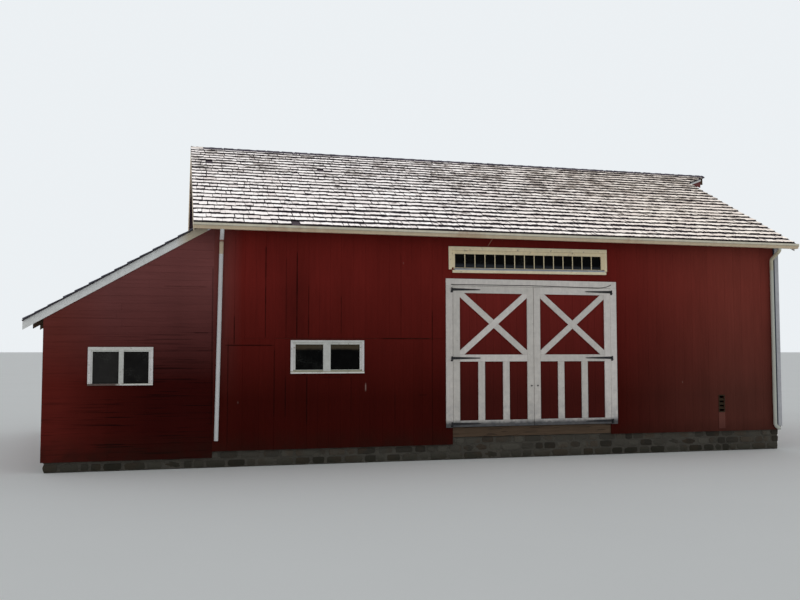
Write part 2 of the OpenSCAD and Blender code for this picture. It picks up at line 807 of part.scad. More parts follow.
// Gutter in several lengths, end to end, with an outlet over each downspout
module front_gutter() color([0.83, 0.80, 0.72]) difference() {
  translate([0, gutter_back_y, gutter_z]) along_x(verge_xl, verge_xr) mirror([1, 0]) gutter_outline();
  translate([0, gutter_back_y, gutter_z]) along_x(verge_xl + sheet_t, verge_xr - sheet_t)
    mirror([1, 0]) gutter_inside();
  for (x = [left_spout_x, right_outlet_x])
    translate([x, outlet_y, gutter_z - 1]) cylinder(r = spout_r - sheet_t, h = sheet_t + 2);
  for (k = [1:gutter_lengths - 1]) {
    x = verge_xl + k * (verge_xr - verge_xl) / gutter_lengths;
    block([x - gutter_joint / 2, gutter_back_y - gutter_w - 1, gutter_z - 1],
          [x + gutter_joint / 2, gutter_back_y + 1, gutter_z + gutter_h + 1]);
  }
}

function unit(v) = v / norm(v);

// Rings of a pipe round the corner p between a and b: each is its centre and its direction
function elbow(a, p, b, steps) =
  let (d = unit(p - a), e = unit(b - p), turn = acos(d * e), n = unit(e - d * cos(turn)),
       c = p - d * elbow_r * tan(turn / 2) + n * elbow_r)
  [for (k = [0:steps]) let (t = turn * k / steps)
    [c - elbow_r * (n * cos(t) - d * sin(t)), d * cos(t) + n * sin(t)]];

// Pipe along a route of corners, each rounded to the elbows' radius
module pipe(route) {
  steps = 4;
  sides = 20;
  last = len(route) - 1;
  rings = concat([[route[0], unit(route[1] - route[0])]],
                 [for (i = [1:last - 1]) each elbow(route[i - 1], route[i], route[i + 1], steps)],
                 [[route[last], unit(route[last] - route[last - 1])]]);
  n = len(rings);
  points = [for (r = [spout_r, spout_r - sheet_t], ring = rings, k = [0:sides - 1])
    let (v = unit(cross(ring[1], [1, 0, 0])), u = cross(v, ring[1]), a = 360 * k / sides)
      ring[0] + r * (cos(a) * u + sin(a) * v)];
  function at(skin, ring, k) = (skin * n + ring) * sides + k % sides;
  // Two triangles between the points a and b of one row and c and d of the next
  function quad(a, b, c, d) = [[a, b, d], [a, d, c]];
  outside = [for (i = [0:n - 2], k = [0:sides - 1])
    each quad(at(0, i, k), at(0, i, k + 1), at(0, i + 1, k), at(0, i + 1, k + 1))];
  inside = [for (i = [0:n - 2], k = [0:sides - 1])
    each quad(at(1, i, k + 1), at(1, i, k), at(1, i + 1, k + 1), at(1, i + 1, k))];
  ends = [for (k = [0:sides - 1]) each concat(
    quad(at(0, 0, k + 1), at(0, 0, k), at(1, 0, k + 1), at(1, 0, k)),
    quad(at(0, n - 1, k), at(0, n - 1, k + 1), at(1, n - 1, k), at(1, n - 1, k + 1)))];
  polyhedron(points, concat(outside, inside, ends));
}

// First corners of a downspout: its outlet, the corner under it, and the corner at the wall
function spout_start(outlet_x, x) = [
  [outlet_x, outlet_y, gutter_z], [outlet_x, outlet_y, gutter_z - spout_drop],
  [x, spout_y, gutter_z - spout_drop - spout_slant]];

module left_downspout() color([0.78, 0.77, 0.72])
  pipe(concat(spout_start(left_spout_x, left_spout_x),
              [[left_spout_x - left_spout_lean, spout_y, left_spout_z]]));

module right_downspout() color([0.78, 0.77, 0.72])
  pipe(concat(spout_start(right_outlet_x, right_spout_x),
              [[right_spout_x, spout_y, right_spout_z + shoe_drop],
               [right_spout_x + shoe_out, spout_y, right_spout_z]]));

// Hole in the boards for a window: its panes and the frame's liner round them
module window_hole(w) {
  block([pane_x0(w) - liner_t, face_y - 1, pane_z0(w) - liner_t],
        [pane_x1(w) + liner_t, frame_y + 1, pane_z1(w) + liner_t]);
}

// Casing on the boards with a sash standing back inside it, a liner in the hole, a sloping sill
// with a nose, and uprights between the panes
module window_frame(w, nose_in) {
  x0 = w[0] - w[2] / 2;
  x1 = w[0] + w[2] / 2;
  sash = w[7];
  nose_y = casing_y - nose_out;
  slope = (pane_z0(w) - w[1] - nose_h) / (glass_y - nose_y);
  difference() {
    union() {
      block([x0, casing_y, w[1]], [x1, face_y, w[1] + w[3]]);
      block([pane_x0(w) - liner_t, face_y, pane_z0(w) - liner_t],
            [pane_x1(w) + liner_t, frame_y, pane_z1(w) + liner_t]);
      along_x(x0 + nose_in, x1 - nose_in)
        polygon([[nose_y, w[1]], [nose_y, w[1] + nose_h],
                 [casing_y, w[1] + nose_h + slope * nose_out], [casing_y, w[1]]]);
    }
    along_x(pane_x0(w), pane_x1(w))
      polygon([[nose_y - 1, w[1] + nose_h - slope], [glass_y, pane_z0(w)], [frame_y + 1, pane_z0(w)],
               [frame_y + 1, pane_z1(w)], [nose_y - 1, pane_z1(w)]]);
    block([pane_x0(w) - sash, casing_y - 1, pane_z0(w)], [pane_x1(w) + sash, casing_y + sash_back,
                                                          pane_z1(w) + sash]);
  }
  for (k = [1:1:w[8]]) {
    x = pane_x0(w) + k * (pane_x1(w) - pane_x0(w)) / (w[8] + 1);
    block([x - w[9] / 2, casing_y, w[1] + nose_h], [x + w[9] / 2, face_y, pane_z1(w)]);
    block([x - w[9] / 2, face_y, pane_z0(w) - liner_t], [x + w[9] / 2, frame_y, pane_z1(w)]);
  }
}

module window_panes(w) {
  pitch = (pane_x1(w) - pane_x0(w)) / (w[8] + 1);
  for (k = [0:w[8]])
    block([pane_x0(w) + k * pitch + (k == 0 ? 0 : w[9] / 2), glass_y, pane_z0(w)],
          [pane_x0(w) + (k + 1) * pitch - (k == w[8] ? 0 : w[9] / 2), glass_y + glass_t, pane_z1(w)]);
}

module transom_frame() color(white) window_frame(transom, transom_nose_in);

module window_frames() color(white) {
  window_frame(main_window, 0);
  window_frame(lean_window, 0);
}

module window_glass() color([0.10, 0.13, 0.14])
  for (w = [main_window, lean_window, transom]) window_panes(w);

// Hole through the wall inside the vent's frame
module vent_hole(y0, y1) {
  block([vent_x - vent_w / 2 + vent_frame, y0, vent_z + vent_frame],
        [vent_x + vent_w / 2 - vent_frame, y1, vent_z + vent_h - vent_frame]);
}

// Vent: frame on the boards with sloping slats between its sides
module wall_vent() color(red) {
  frame_front = face_y - vent_frame_t;
  difference() {
    block([vent_x - vent_w / 2, frame_front, vent_z], [vent_x + vent_w / 2, face_y, vent_z + vent_h]);
    vent_hole(frame_front - 1, face_y + 1);
  }
  free_h = vent_h - 2 * vent_frame - slat_rise - slat_t;
  for (k = [1:slats]) {
    z = vent_z + vent_frame + free_h * (k - 0.5) / slats;
    along_x(vent_x - vent_w / 2 + vent_frame, vent_x + vent_w / 2 - vent_frame)
      polygon([[frame_front, z], [frame_front, z + slat_t], [frame_y, z + slat_rise + slat_t],
               [frame_y, z + slat_rise]]);
  }
}

// A board between two points of a leaf, as wide as given
module leaf_strip(a, b, w) {
  d = (b - a) / norm(b - a);
  n = [-d[1], d[0]] * w / 2;
  polygon([a - d * w + n, b + d * w + n, b + d * w - n, a - d * w - n]);
}

// Frame of a leaf, drawn from its hinge side: stiles, rails, a cross above and slats below
module leaf_pattern() {
  mid = rail_z[1];
  mid_top = mid + stile_w / 2;
  upper = leaf_h - stile_w;
  inner = leaf_w - 2 * stile_w;
  square([stile_w, leaf_h]);
  translate([leaf_w - stile_w, 0]) square([stile_w, leaf_h]);
  square([leaf_w, foot_rail_h]);
  translate([0, mid - stile_w / 2]) square([leaf_w, stile_w]);
  translate([0, leaf_h - stile_w]) square([leaf_w, stile_w]);
  intersection() {
    translate([stile_w, mid_top]) square([inner, upper - mid_top]);
    union() {
      leaf_strip([stile_w, mid_top], [leaf_w - stile_w, upper], cross_w);
      leaf_strip([stile_w, upper], [leaf_w - stile_w, mid_top], cross_w);
    }
  }
  gap = (inner - slat_count * stile_w) / (slat_count + 1);
  for (k = [1:slat_count])
    translate([stile_w + k * gap + (k - 1) * stile_w, 0]) square([stile_w, mid]);
}

// Places a piece drawn from the hinge side in the left leaf, or mirrored in the right one
module leaf_place(side) {
  mirror([side > 0 ? 1 : 0, 0, 0]) translate([-door_w / 2 + leaf_gap, 0, leaf_z]) children();
}

module leaf_boards(side) {
  leaf_place(side) block([0, leaf_front_y + leaf_frame_t, 0], [leaf_w, leaf_back_y, leaf_h]);
}

module leaf_frame(side) {
  leaf_place(side) along_y(leaf_front_y, leaf_front_y + leaf_frame_t) leaf_pattern();
}

// Tapered straps with a barrel round the pin
module leaf_hinges(side) {
  for (z = rail_z) mirror([side > 0 ? 1 : 0, 0, 0]) translate([-pin_x, 0, leaf_z + z]) difference() {
    union() {
      along_y(leaf_front_y - strap_t, leaf_front_y)
        polygon([[0, -strap_w / 2], [0, strap_w / 2], [tip_from, strap_tip_w / 2], [strap_l, 0],
                 [tip_from, -strap_tip_w / 2]]);
      translate([0, pin_y, -barrel_h / 2]) cylinder(r = barrel_r, h = barrel_h);
    }
    translate([0, pin_y, -barrel_h / 2 - 1]) cylinder(r = pin_r + pin_play, h = barrel_h + 2);
  }
}

module left_door_boards() color(red) leaf_boards(-1);
module left_door_frame() color(white) leaf_frame(-1);
module left_door_hinges() color(iron) leaf_hinges(-1);
module right_door_boards() color(red) leaf_boards(1);
module right_door_frame() color(white) leaf_frame(1);
module right_door_hinges() color(iron) leaf_hinges(1);

// Pins that the barrels turn on, each on a bracket below and fixed to the casing
module hinge_pintles() color(iron) {
  for (side = [0, 1], z = rail_z) mirror([side, 0, 0])
    translate([-pin_x, 0, leaf_z + z - barrel_h / 2 - 1]) {
      translate([0, pin_y, -bracket_t]) cylinder(r = pin_r, h = bracket_t + barrel_h + strap_t);
      block([-bracket_w / 2, pin_y - pin_r, -bracket_t], [bracket_w / 2, casing_y, 0]);
      block([-bracket_w / 2, casing_y - strap_t / 2, -bracket_t - bracket_w], [bracket_w / 2, casing_y, 0]);
    }
}

front_foundation();
back_foundation();
cross_foundations();
floor_dwarf_walls();
long_sills();
gable_sills();
posts();
wall_plates();
tie_beams();
knee_braces();
wall_girts();
rafters();
ridge_board();
floor_joists();
barn_floor();
front_wall_left();
front_wall_over_door();
front_wall_right();
back_wall();
left_gable_wall();
right_gable_wall();
lean_to_front_wall();
lean_to_side_wall();
lean_to_back_wall();
main_roof_front();
main_roof_back();
ridge_cap();
lean_to_roof();
hay_hood_roof();
hay_hood_sides();
front_fascia();
rake_boards();
corner_board();
door_casing();
front_gutter();
left_downspout();
right_downspout();
transom_frame();
window_frames();
window_glass();
wall_vent();
left_door_boards();
left_door_frame();
left_door_hinges();
right_door_boards();
right_door_frame();
right_door_hinges();
hinge_pintles();
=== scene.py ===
import math
import random
from contextlib import contextmanager

import bmesh
import bpy
from mathutils import Matrix, Vector


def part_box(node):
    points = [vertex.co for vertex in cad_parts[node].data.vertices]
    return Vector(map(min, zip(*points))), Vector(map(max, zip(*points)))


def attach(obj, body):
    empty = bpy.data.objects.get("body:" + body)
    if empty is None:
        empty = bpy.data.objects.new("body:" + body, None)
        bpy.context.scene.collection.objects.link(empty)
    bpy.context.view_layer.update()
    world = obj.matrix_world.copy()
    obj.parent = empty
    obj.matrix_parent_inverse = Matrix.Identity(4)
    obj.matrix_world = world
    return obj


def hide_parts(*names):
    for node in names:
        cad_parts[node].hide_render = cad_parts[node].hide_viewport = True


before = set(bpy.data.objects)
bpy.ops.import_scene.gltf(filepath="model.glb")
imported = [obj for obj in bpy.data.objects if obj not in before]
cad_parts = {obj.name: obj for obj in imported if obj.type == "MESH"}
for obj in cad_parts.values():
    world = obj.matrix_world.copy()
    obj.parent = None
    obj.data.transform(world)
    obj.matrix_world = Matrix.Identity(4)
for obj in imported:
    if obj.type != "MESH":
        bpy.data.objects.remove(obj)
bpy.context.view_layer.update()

# View of the barn: the camera's place, tilt and turn, and its focal length in pixels of the picture
CAMERA_PLACE = (-7.475, -17.405, 2.3)
CAMERA_TILT = 93.3
CAMERA_TURN = -14.6
FOCAL_PIXELS = 861
PICTURE_WIDTH = 800

# Roofs: pitch, number of courses and thickness of the whole roof at a butt. The main roof's courses
# are this much wider at the eaves, and narrower at the ridge.
MAIN_PITCH = math.radians(27.5)
MAIN_COURSES = 23
MAIN_COURSE_EASE = 0.1
MAIN_ROOF_T = 0.060
LEAN_PITCH = math.radians(30.5)
LEAN_COURSES = 15
LEAN_ROOF_T = 0.050
SHEATHING_T = 0.022
RIDGE_T = 0.022
# Shakes gone from the front: the course, counted from the eaves, and the ends of the gap
MISSING_SHAKES = ((17, -6.76, -6.56), (16, -4.20, -4.05), (0, -5.25, -5.02), (3, -6.62, -6.52))

# Walls: usual width of an upright board, height of a lap board, and rounding of the upright boards
BOARD_W = 0.225
LAP_H = 0.150
WALL_EASE = 0.0012


# Modelling

def deselect():
    bpy.ops.object.select_all(action="DESELECT")


def take(obj):
    """Makes obj the one selected and active object."""
    deselect()
    obj.select_set(True)
    bpy.context.view_layer.objects.active = obj


def block(low, high, name="block"):
    """Starts a piece as a cube that fills the box between two corners."""
    deselect()
    low, high = Vector(low), Vector(high)
    bpy.ops.mesh.primitive_cube_add(size=1, location=(low + high) / 2)
    obj = bpy.context.object
    obj.name = name
    obj.scale = high - low
    bpy.ops.object.transform_apply(location=True, rotation=True, scale=True)
    return obj


patterns = []


def pattern(low=(-0.5, -0.5, -0.5), high=(0.5, 0.5, 0.5)):
    """A block that pieces are copied from. It is taken away at the end."""
    patterns.append(block(low, high, "pattern"))
    return patterns[-1]


@contextmanager
def editing(obj, elements="EDGE"):
    """Edit mode on obj, with nothing selected."""
    take(obj)
    bpy.ops.object.mode_set(mode="EDIT")
    bpy.ops.mesh.select_mode(type=elements)
    bpy.ops.mesh.select_all(action="DESELECT")
    yield
    bpy.ops.object.mode_set(mode="OBJECT")


def choose(obj, test, elements="EDGE"):
    """Selects, in edit mode, only the elements that pass the test."""
    bpy.ops.mesh.select_all(action="DESELECT")
    shape = bmesh.from_edit_mesh(obj.data)
    for element in {"VERT": shape.verts, "EDGE": shape.edges, "FACE": shape.faces}[elements]:
        if test(element):
            element.select_set(True)
    bmesh.update_edit_mesh(obj.data)


def move(obj, test, offset, elements="VERT"):
    """Moves, in edit mode, the elements that pass the test."""
    choose(obj, test, elements)
    bpy.ops.transform.translate(value=offset)


def divide(obj, steps):
    """Divides a block along X in edit mode, and goes on with its corners."""
    choose(obj, lambda e: abs((e.verts[1].co - e.verts[0].co).x) > 0.999 * e.calc_length())
    bpy.ops.mesh.subdivide(number_cuts=steps - 1)
    bpy.ops.mesh.select_mode(type="VERT")


def middle(edge):
    return (edge.verts[0].co + edge.verts[1].co) / 2


def mark(obj, name, values, domain="FACE"):
    """Gives every face or point of obj a value of a named attribute, for its material."""
    layer = obj.data.attributes.get(name) or obj.data.attributes.new(name, "FLOAT", domain)
    layer.data.foreach_set("value", values)


def set_tone(obj, tone):
    mark(obj, "tone", [tone] * len(obj.data.polygons))


def copy_of(model, matrix, tone):
    """A copy of a piece with a mesh of its own, put in place by a matrix."""
    made = bpy.data.objects.new(model.name, model.data.copy())
    made.data.transform(matrix)
    set_tone(made, tone)
    bpy.context.scene.collection.objects.link(made)
    return made


def fitted(corner, size):
    """Matrix that stretches a unit block to a size and moves its origin to a corner."""
    return Matrix.Translation(corner) @ Matrix.Diagonal((*size, 1))


def placed(low, high):
    """Matrix that stretches a unit block about the origin to the box between two corners."""
    low, high = Vector(low), Vector(high)
    return fitted((low + high) / 2, high - low)


def laid(along, run, across, heights):
    """The same from a run along X or Y, a depth across it and two heights."""
    corners = [(a, b, z) if along == "X" else (b, a, z) for a, b, z in zip(run, sorted(across), heights)]
    return placed(*corners)


def ease_edges(obj, width):
    """Rounds the sharp edges of a piece a little."""
    take(obj)
    ease = obj.modifiers.new("eased_edges", "BEVEL")
    ease.width = width
    ease.segments = 1
    ease.limit_method = "ANGLE"
    ease.angle_limit = math.radians(35)
    bpy.ops.object.modifier_apply(modifier=ease.name)


def cut_off(obj, point, outward):
    """Cuts away what lies past a plane, closes the cut and turns its faces outwards."""
    with editing(obj, "FACE"):
        bpy.ops.mesh.select_all(action="SELECT")
        bpy.ops.mesh.bisect(plane_co=point, plane_no=outward, use_fill=True, clear_outer=True)
        bpy.ops.mesh.select_all(action="SELECT")
        bpy.ops.mesh.normals_make_consistent(inside=False)


def cut_each(pieces, point, outward):
    """Cuts pieces that overlap one at a time, so that each cut closes by itself, and returns the rest."""
    point, outward = Vector(point), Vector(outward)
    left = []
    for made in pieces:
        if any((vert.co - point).dot(outward) > 0 for vert in made.data.vertices):
            cut_off(made, point, outward)
        if made.data.polygons:
            left.append(made)
        else:
            bpy.data.objects.remove(made)
    return left


def cut_hole(obj, low, high):
    cutter = block(low, high)
    take(obj)
    hole = obj.modifiers.new("hole", "BOOLEAN")
    hole.object = cutter
    hole.operation = "DIFFERENCE"
    hole.solver = "EXACT"
    bpy.ops.object.modifier_apply(modifier=hole.name)
    bpy.data.objects.remove(cutter)


def join(name, parts):
    deselect()
    for part in parts:
        part.select_set(True)
    bpy.context.view_layer.objects.active = parts[0]
    if len(parts) > 1:
        bpy.ops.object.join()
    made = bpy.context.object
    made.name = name
    return made


def piece(name, parts, material, slot, *stands_for, ease=0, holes=(), body="barn"):
    """Joins parts into one piece, eases its edges, cuts its holes, gives it its material and the body it
    moves with, and hides the CAD nodes it stands for. The slot is not used."""
    obj = join(name, parts)
    if ease:
        ease_edges(obj, ease)
    for low, high in holes:
        cut_hole(obj, low, high)
    obj.data.materials.clear()
    obj.data.materials.append(material)
    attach(obj, body)
    if stands_for:
        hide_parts(*stands_for)
    return obj


def dressed_copy(node, name, material, slot, ease, body="barn", smooth=None):
    """A copy of a CAD node with its triangles merged and its edges eased, in the node's place."""
    obj = copy_of(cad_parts[node], Matrix(), 0.5)
    with editing(obj, "VERT"):
        bpy.ops.mesh.select_all(action="SELECT")
        bpy.ops.mesh.remove_doubles(threshold=0.00002)
        bpy.ops.mesh.dissolve_limited(angle_limit=math.radians(0.2))
    piece(name, [obj], material, slot, node, ease=ease, body=body)
    if smooth:
        bpy.ops.object.shade_smooth_by_angle(angle=math.radians(smooth))
    else:
        bpy.ops.object.shade_flat()
    return obj


def span(points):
    """Low and high corner of the box round some points."""
    lists = list(zip(*points))
    return Vector(map(min, lists)), Vector(map(max, lists))


def parts_of(node):
    """Boxes of the separate solids of a CAD node, from left to right."""
    shape = bmesh.new()
    shape.from_mesh(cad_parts[node].data)
    bmesh.ops.remove_doubles(shape, verts=shape.verts, dist=0.00002)
    boxes, seen = [], set()
    for start in shape.verts:
        if start in seen:
            continue
        found, waiting = [], [start]
        seen.add(start)
        while waiting:
            vert = waiting.pop()
            found.append(vert.co.copy())
            for edge in vert.link_edges:
                other = edge.other_vert(vert)
                if other not in seen:
                    seen.add(other)
                    waiting.append(other)
        boxes.append(span(found))
    shape.free()
    return sorted(boxes, key=lambda box: box[0].x)


# Materials

def linear(value):
    """Light that a usual 0 to 255 value of a colour stands for."""
    value /= 255
    return value / 12.92 if value <= 0.04045 else ((value + 0.055) / 1.055) ** 2.4


class Recipe:
    """The nodes of one material, fed one into the next, and the colour that they give so far. A colour
    is three values from 0 to 255, or what a node gives."""

    def __init__(self, name, roughness, metallic=0.0, gloss=0.5):
        self.material = bpy.data.materials.new(name)
        self.material.use_nodes = True
        self.tree = self.material.node_tree
        self.shader = self.tree.nodes["Principled BSDF"]
        self.shader.inputs["Roughness"].default_value = roughness
        self.shader.inputs["Metallic"].default_value = metallic
        self.shader.inputs["Specular IOR Level"].default_value = gloss
        self.place = self.tree.nodes.new("ShaderNodeTexCoord").outputs["Object"]
        self.axes = self.node("ShaderNodeSeparateXYZ", Vector=self.place).outputs

    def feed(self, socket, value):
        if isinstance(value, bpy.types.NodeSocket):
            self.tree.links.new(value, socket)
        else:
            socket.default_value = value

    def node(self, kind, settings=None, **inputs):
        made = self.tree.nodes.new(kind)
        for key, value in (settings or {}).items():
            setattr(made, key, value)
        for key, value in inputs.items():
            self.feed(made.inputs[key.replace("_", " ")], value)
        return made

    def stretched(self, stretch, shift=(0, 0, 0)):
        made = self.node("ShaderNodeMapping", Vector=self.place, Scale=stretch, Location=shift)
        return made.outputs["Vector"]

    def noise(self, scale, stretch=(1, 1, 1), detail=3.0, rough=0.5, shift=(0, 0, 0)):
        return self.node("ShaderNodeTexNoise", Vector=self.stretched(stretch, shift), Scale=scale,
                         Detail=detail, Roughness=rough).outputs["Fac"]

    def spots(self, low, high, most, *noise, **more):
        """Spots of a noise that start where it is low and are at their most where it is high."""
        return self.level(self.noise(*noise, **more), low, high, 0, most)

    def cracks(self, scale, stretch=(1, 1, 1)):
        """Distance to the nearest of a net of cracks."""
        return self.node("ShaderNodeTexVoronoi", {"feature": "DISTANCE_TO_EDGE"},
                         Vector=self.stretched(stretch), Scale=scale).outputs["Distance"]

    def near(self, point, radius):
        """Value that falls from 1 at a point to 0 at a distance from it."""
        made = self.node("ShaderNodeVectorMath", {"operation": "DISTANCE"})
        self.feed(made.inputs[0], self.place)
        made.inputs[1].default_value = point
        return self.level(made.outputs["Value"], radius, 0)

    def attribute(self, name):
        return self.node("ShaderNodeAttribute", {"attribute_name": name}).outputs["Fac"]

    def level(self, value, low, high, to_low=0.0, to_high=1.0):
        """Value moved from the range low to high into another range, and held there."""
        return self.node("ShaderNodeMapRange", Value=value, From_Min=low, From_Max=high,
                         To_Min=to_low, To_Max=to_high).outputs["Result"]

    def along(self, axis, low, high, to_low=0.0, to_high=1.0):
        """The same for the place along an axis."""
        return self.level(self.axes[axis], low, high, to_low, to_high)

    def within(self, axis, start, end, soft, strength):
        """Value that reaches its strength between two places along an axis, with soft ends."""
        return self.times(self.along(axis, start - soft, start + soft),
                          self.along(axis, end + soft, end - soft, 0, strength))

    def line(self, axis, start, end, place, strength):
        """Value of a thin line along X or Z from start to end, at a place on the other one."""
        off = self.calc("SUBTRACT", self.axes["X" if axis == "Z" else "Z"], place)
        return self.times(self.within(axis, start, end, 0.03, strength),
                          self.level(self.calc("ABSOLUTE", off, 0), LINE_HALF, LINE_HALF * 0.4))

    def calc(self, operation, a, b):
        made = self.node("ShaderNodeMath", {"operation": operation})
        self.feed(made.inputs[0], a)
        self.feed(made.inputs[1], b)
        return made.outputs[0]

    def times(self, value, *others):
        for other in others:
            value = self.calc("MULTIPLY", value, other)
        return value

    def plus(self, value, *others):
        for other in others:
            value = self.calc("ADD", value, other)
        return value

    def blend(self, factor, a, b, kind="MIX"):
        made = self.node("ShaderNodeMix", {"data_type": "RGBA", "blend_type": kind})
        self.feed(made.inputs[0], factor)
        for place, value in ((6, a), (7, b)):
            self.feed(made.inputs[place], (*map(linear, value), 1) if isinstance(value, tuple) else value)
        return made.outputs[2]

    def cover(self, factor, colour, kind="MIX"):
        """Lays a colour over the one so far, as thick as the factor says."""
        self.colour = self.blend(factor, self.colour, colour, kind)

    def shade(self, value, low, high):
        """Makes the colour darker or lighter, by a share from low to high as value goes from 0 to 1."""
        share = self.level(value, 0, 1, low, high)
        grey = self.node("ShaderNodeCombineColor", Red=share, Green=share, Blue=share).outputs["Color"]
        self.cover(1.0, grey, "MULTIPLY")

    def finish(self, height=None, strength=0.4, distance=0.004, roughness=None):
        self.feed(self.shader.inputs["Base Color"], self.colour)
        if roughness is not None:
            self.feed(self.shader.inputs["Roughness"], roughness)
        if height is not None:
            bump = self.node("ShaderNodeBump", Height=height, Strength=strength, Distance=distance)
            self.feed(self.shader.inputs["Normal"], bump.outputs["Normal"])
        return self.material


# Stretches of grain that run along one axis
GRAIN = {"X": (0.05, 1, 1), "Y": (1, 0.05, 1), "Z": (1, 1, 0.05)}


def red_paint(name, grain, high, low, *haze_patches, marks=(), flakes=()):
    """Old red paint on boards: one colour high up and a darker one low down, which is painted shade. Each
    haze
    patch is painted haze: the place where it starts along the wall, where it is full, and its own two
    colours. Marks are dark lines, and flakes the places where paint has come off."""
    recipe = Recipe(name, 0.75, gloss=0.03)
    streaks = recipe.noise(22, GRAIN[grain], 4, 0.6)
    # Darker low down: painted shade.
    painted_shade_low_down = recipe.along("Z", 3.7, 1.65 if grain == "X" else 1.3)
    recipe.colour = recipe.blend(painted_shade_low_down, high, low)
    # Each haze patch: lighter colours along the wall, painted haze.
    for start, full, *haze_colours in haze_patches:
        recipe.cover(recipe.along("X", start, full), recipe.blend(painted_shade_low_down, *haze_colours))
    recipe.shade(recipe.attribute("tone"), 0.965, 1.035)
    recipe.shade(streaks, 0.84, 1.14)
    recipe.shade(recipe.noise(0.9, (1, 1, 0.5), 3, 0.55), 0.76, 1.24)
    smudge = recipe.times(recipe.near(SMUDGE, 1.5), recipe.spots(0.4, 0.7, 1, 1.7, (1, 1, 0.4), 4), 0.45)
    recipe.cover(smudge, (34, 14, 10))
    # Lap boards get thin dark broken lines: painted shadows under the boards' butts, stronger low down.
    if grain == "X":
        painted_lap_shadows = recipe.times(recipe.spots(0.56, 0.66, 1, 34, (0.025, 1, 1), 3, 0.55, (3, 0, 1)),
                             recipe.along("Z", 3.0, 1.6, 0.1, 0.95), recipe.along("X", -9.2, -8.4, 0.4, 1.0))
        recipe.cover(painted_lap_shadows, (22, 5, 5))
    for places, tint in ((marks, (26, 8, 6)), (flakes, (176, 150, 140))):
        if places:
            shown = 0.0
            for place in places:
                shown = recipe.calc("MAXIMUM", shown, recipe.line(*place))
            worn = recipe.level(recipe.noise(6), 0.35, 0.6, 0.6, 1.0)
            recipe.cover(recipe.times(shown, worn), tint)
    recipe.cover(recipe.times(recipe.along("Z", 0.75, 0.3), recipe.noise(5, detail=4)), (46, 26, 20))
    chips = recipe.spots(0.775, 0.79, 1, 9, (1, 1, 0.5), 5, 0.6)
    recipe.cover(recipe.times(chips, 0.5), (150, 128, 118))
    return recipe.finish(recipe.plus(streaks, recipe.times(chips, -0.5)), 0.35, 0.003)


def white_paint(name, grain, peel, light, dark, tint=None, grimy=False):
    """Chalky white paint: faint brush streaks, and bare wood where it peels. Grimy paint is grey low
    down. A tint is where it starts along the barn, where it is full, where it ends, and its colour; on the
    corner board it is a painted shadow of the downspout."""
    recipe = Recipe(name, 0.7, gloss=0.1)
    streaks = recipe.noise(26, GRAIN[grain], 4, 0.6)
    recipe.colour = recipe.blend(recipe.attribute("tone"), dark, light)
    recipe.shade(streaks, 0.90, 1.08)
    recipe.shade(recipe.noise(1.4, detail=4), 0.86, 1.12)
    recipe.shade(recipe.noise(11, detail=4, rough=0.65), 0.80, 1.18)
    if grimy:
        grime = recipe.spots(0.42, 0.68, 0.7, 7, detail=5, rough=0.65)
        recipe.cover(recipe.times(recipe.along("Z", 1.3, 0.55), grime), (128, 132, 142))
        edge = recipe.level(recipe.noise(14, detail=4), 0, 1, -0.05, 0.05)
        foot = recipe.level(recipe.plus(recipe.axes["Z"], edge), 0.83, 0.74, 0, 0.85)
        recipe.cover(foot, (40, 44, 52))
    # On the corner board this tint is a painted shadow of the downspout.
    if tint:
        start, full, end, colour = tint
        there = recipe.times(recipe.along("X", start, full), recipe.along("X", end, end + 0.01, 1, 0))
        recipe.cover(there, colour)
    bare = recipe.spots(0.72 - 0.20 * peel, 0.75 - 0.20 * peel, 1, 16, detail=6, rough=0.7)
    recipe.cover(bare, recipe.blend(streaks, (118, 104, 90), (166, 150, 134)))
    return recipe.finish(recipe.plus(recipe.times(streaks, 0.5), recipe.times(bare, -0.8)), 0.4, 0.002)


def weathered_shakes(name, grain, edge=(25, 21, 32)):
    """Split shakes bleached by the sun: pale faces; butts and sides dark, partly as painted shade; a painted
    shadow under the next course.
    """
    recipe = Recipe(name, 0.9, gloss=0.1)
    fibres = recipe.noise(60, {"Y": (1, 0.06, 0.06), "X": (0.06, 1, 0.06)}[grain], 4, 0.6)
    recipe.colour = recipe.blend(recipe.attribute("tone"), (226, 217, 216), (252, 248, 248))
    patches = recipe.times(recipe.noise(2.2, detail=6, rough=0.8), recipe.along("Z", 4.9, 6.6, 0.86, 1.08))
    patches = recipe.plus(patches, recipe.along("X", -7, 4, -0.03, 0.02))
    recipe.cover(recipe.level(patches, 0.53, 0.60, 0, 0.7), (104, 92, 82))
    recipe.shade(fibres, 0.74, 1.14)
    # Painted shadow under each course's butts: ragged, and wider over the upper left of the front.
    uneven = recipe.level(recipe.noise(6, detail=5, rough=0.7), 0.2, 0.8, -0.24, 0.24)
    ragged = recipe.plus(recipe.attribute("along"), uneven)
    wider_butt_shadow = recipe.times(recipe.along("Z", 5.8, 4.8, 0.0, 0.09), recipe.along("X", -6.0, -3.5))
    wider_butt_shadow = recipe.plus(wider_butt_shadow, recipe.along("X", -6.5, -3.5, -0.05, 0.0))
    painted_butt_shadow = recipe.level(recipe.plus(ragged, wider_butt_shadow), 0.61, 0.67, 0, 0.98)
    recipe.cover(recipe.along("X", -2, 4, 0, 0.35), (240, 226, 200), "MULTIPLY")
    recipe.cover(painted_butt_shadow, (32, 25, 38))
    # Butts and sides: partly dark end grain, partly painted shade.
    recipe.cover(recipe.times(recipe.attribute("end"), 0.95), edge)
    return recipe.finish(fibres, 0.6, 0.006)


def ridge_shakes(name):
    """Dark weathered pieces along the ridge, with one or two bleached ones."""
    recipe = Recipe(name, 0.85, gloss=0.1)
    fibres = recipe.noise(40, (0.06, 1, 1), 4, 0.6)
    tone = recipe.attribute("tone")
    recipe.colour = recipe.blend(tone, (44, 41, 54), (78, 73, 84))
    recipe.cover(recipe.level(tone, 0.86, 0.94), (208, 200, 196))
    recipe.shade(fibres, 0.65, 1.3)
    return recipe.finish(fibres, 0.5, 0.004)


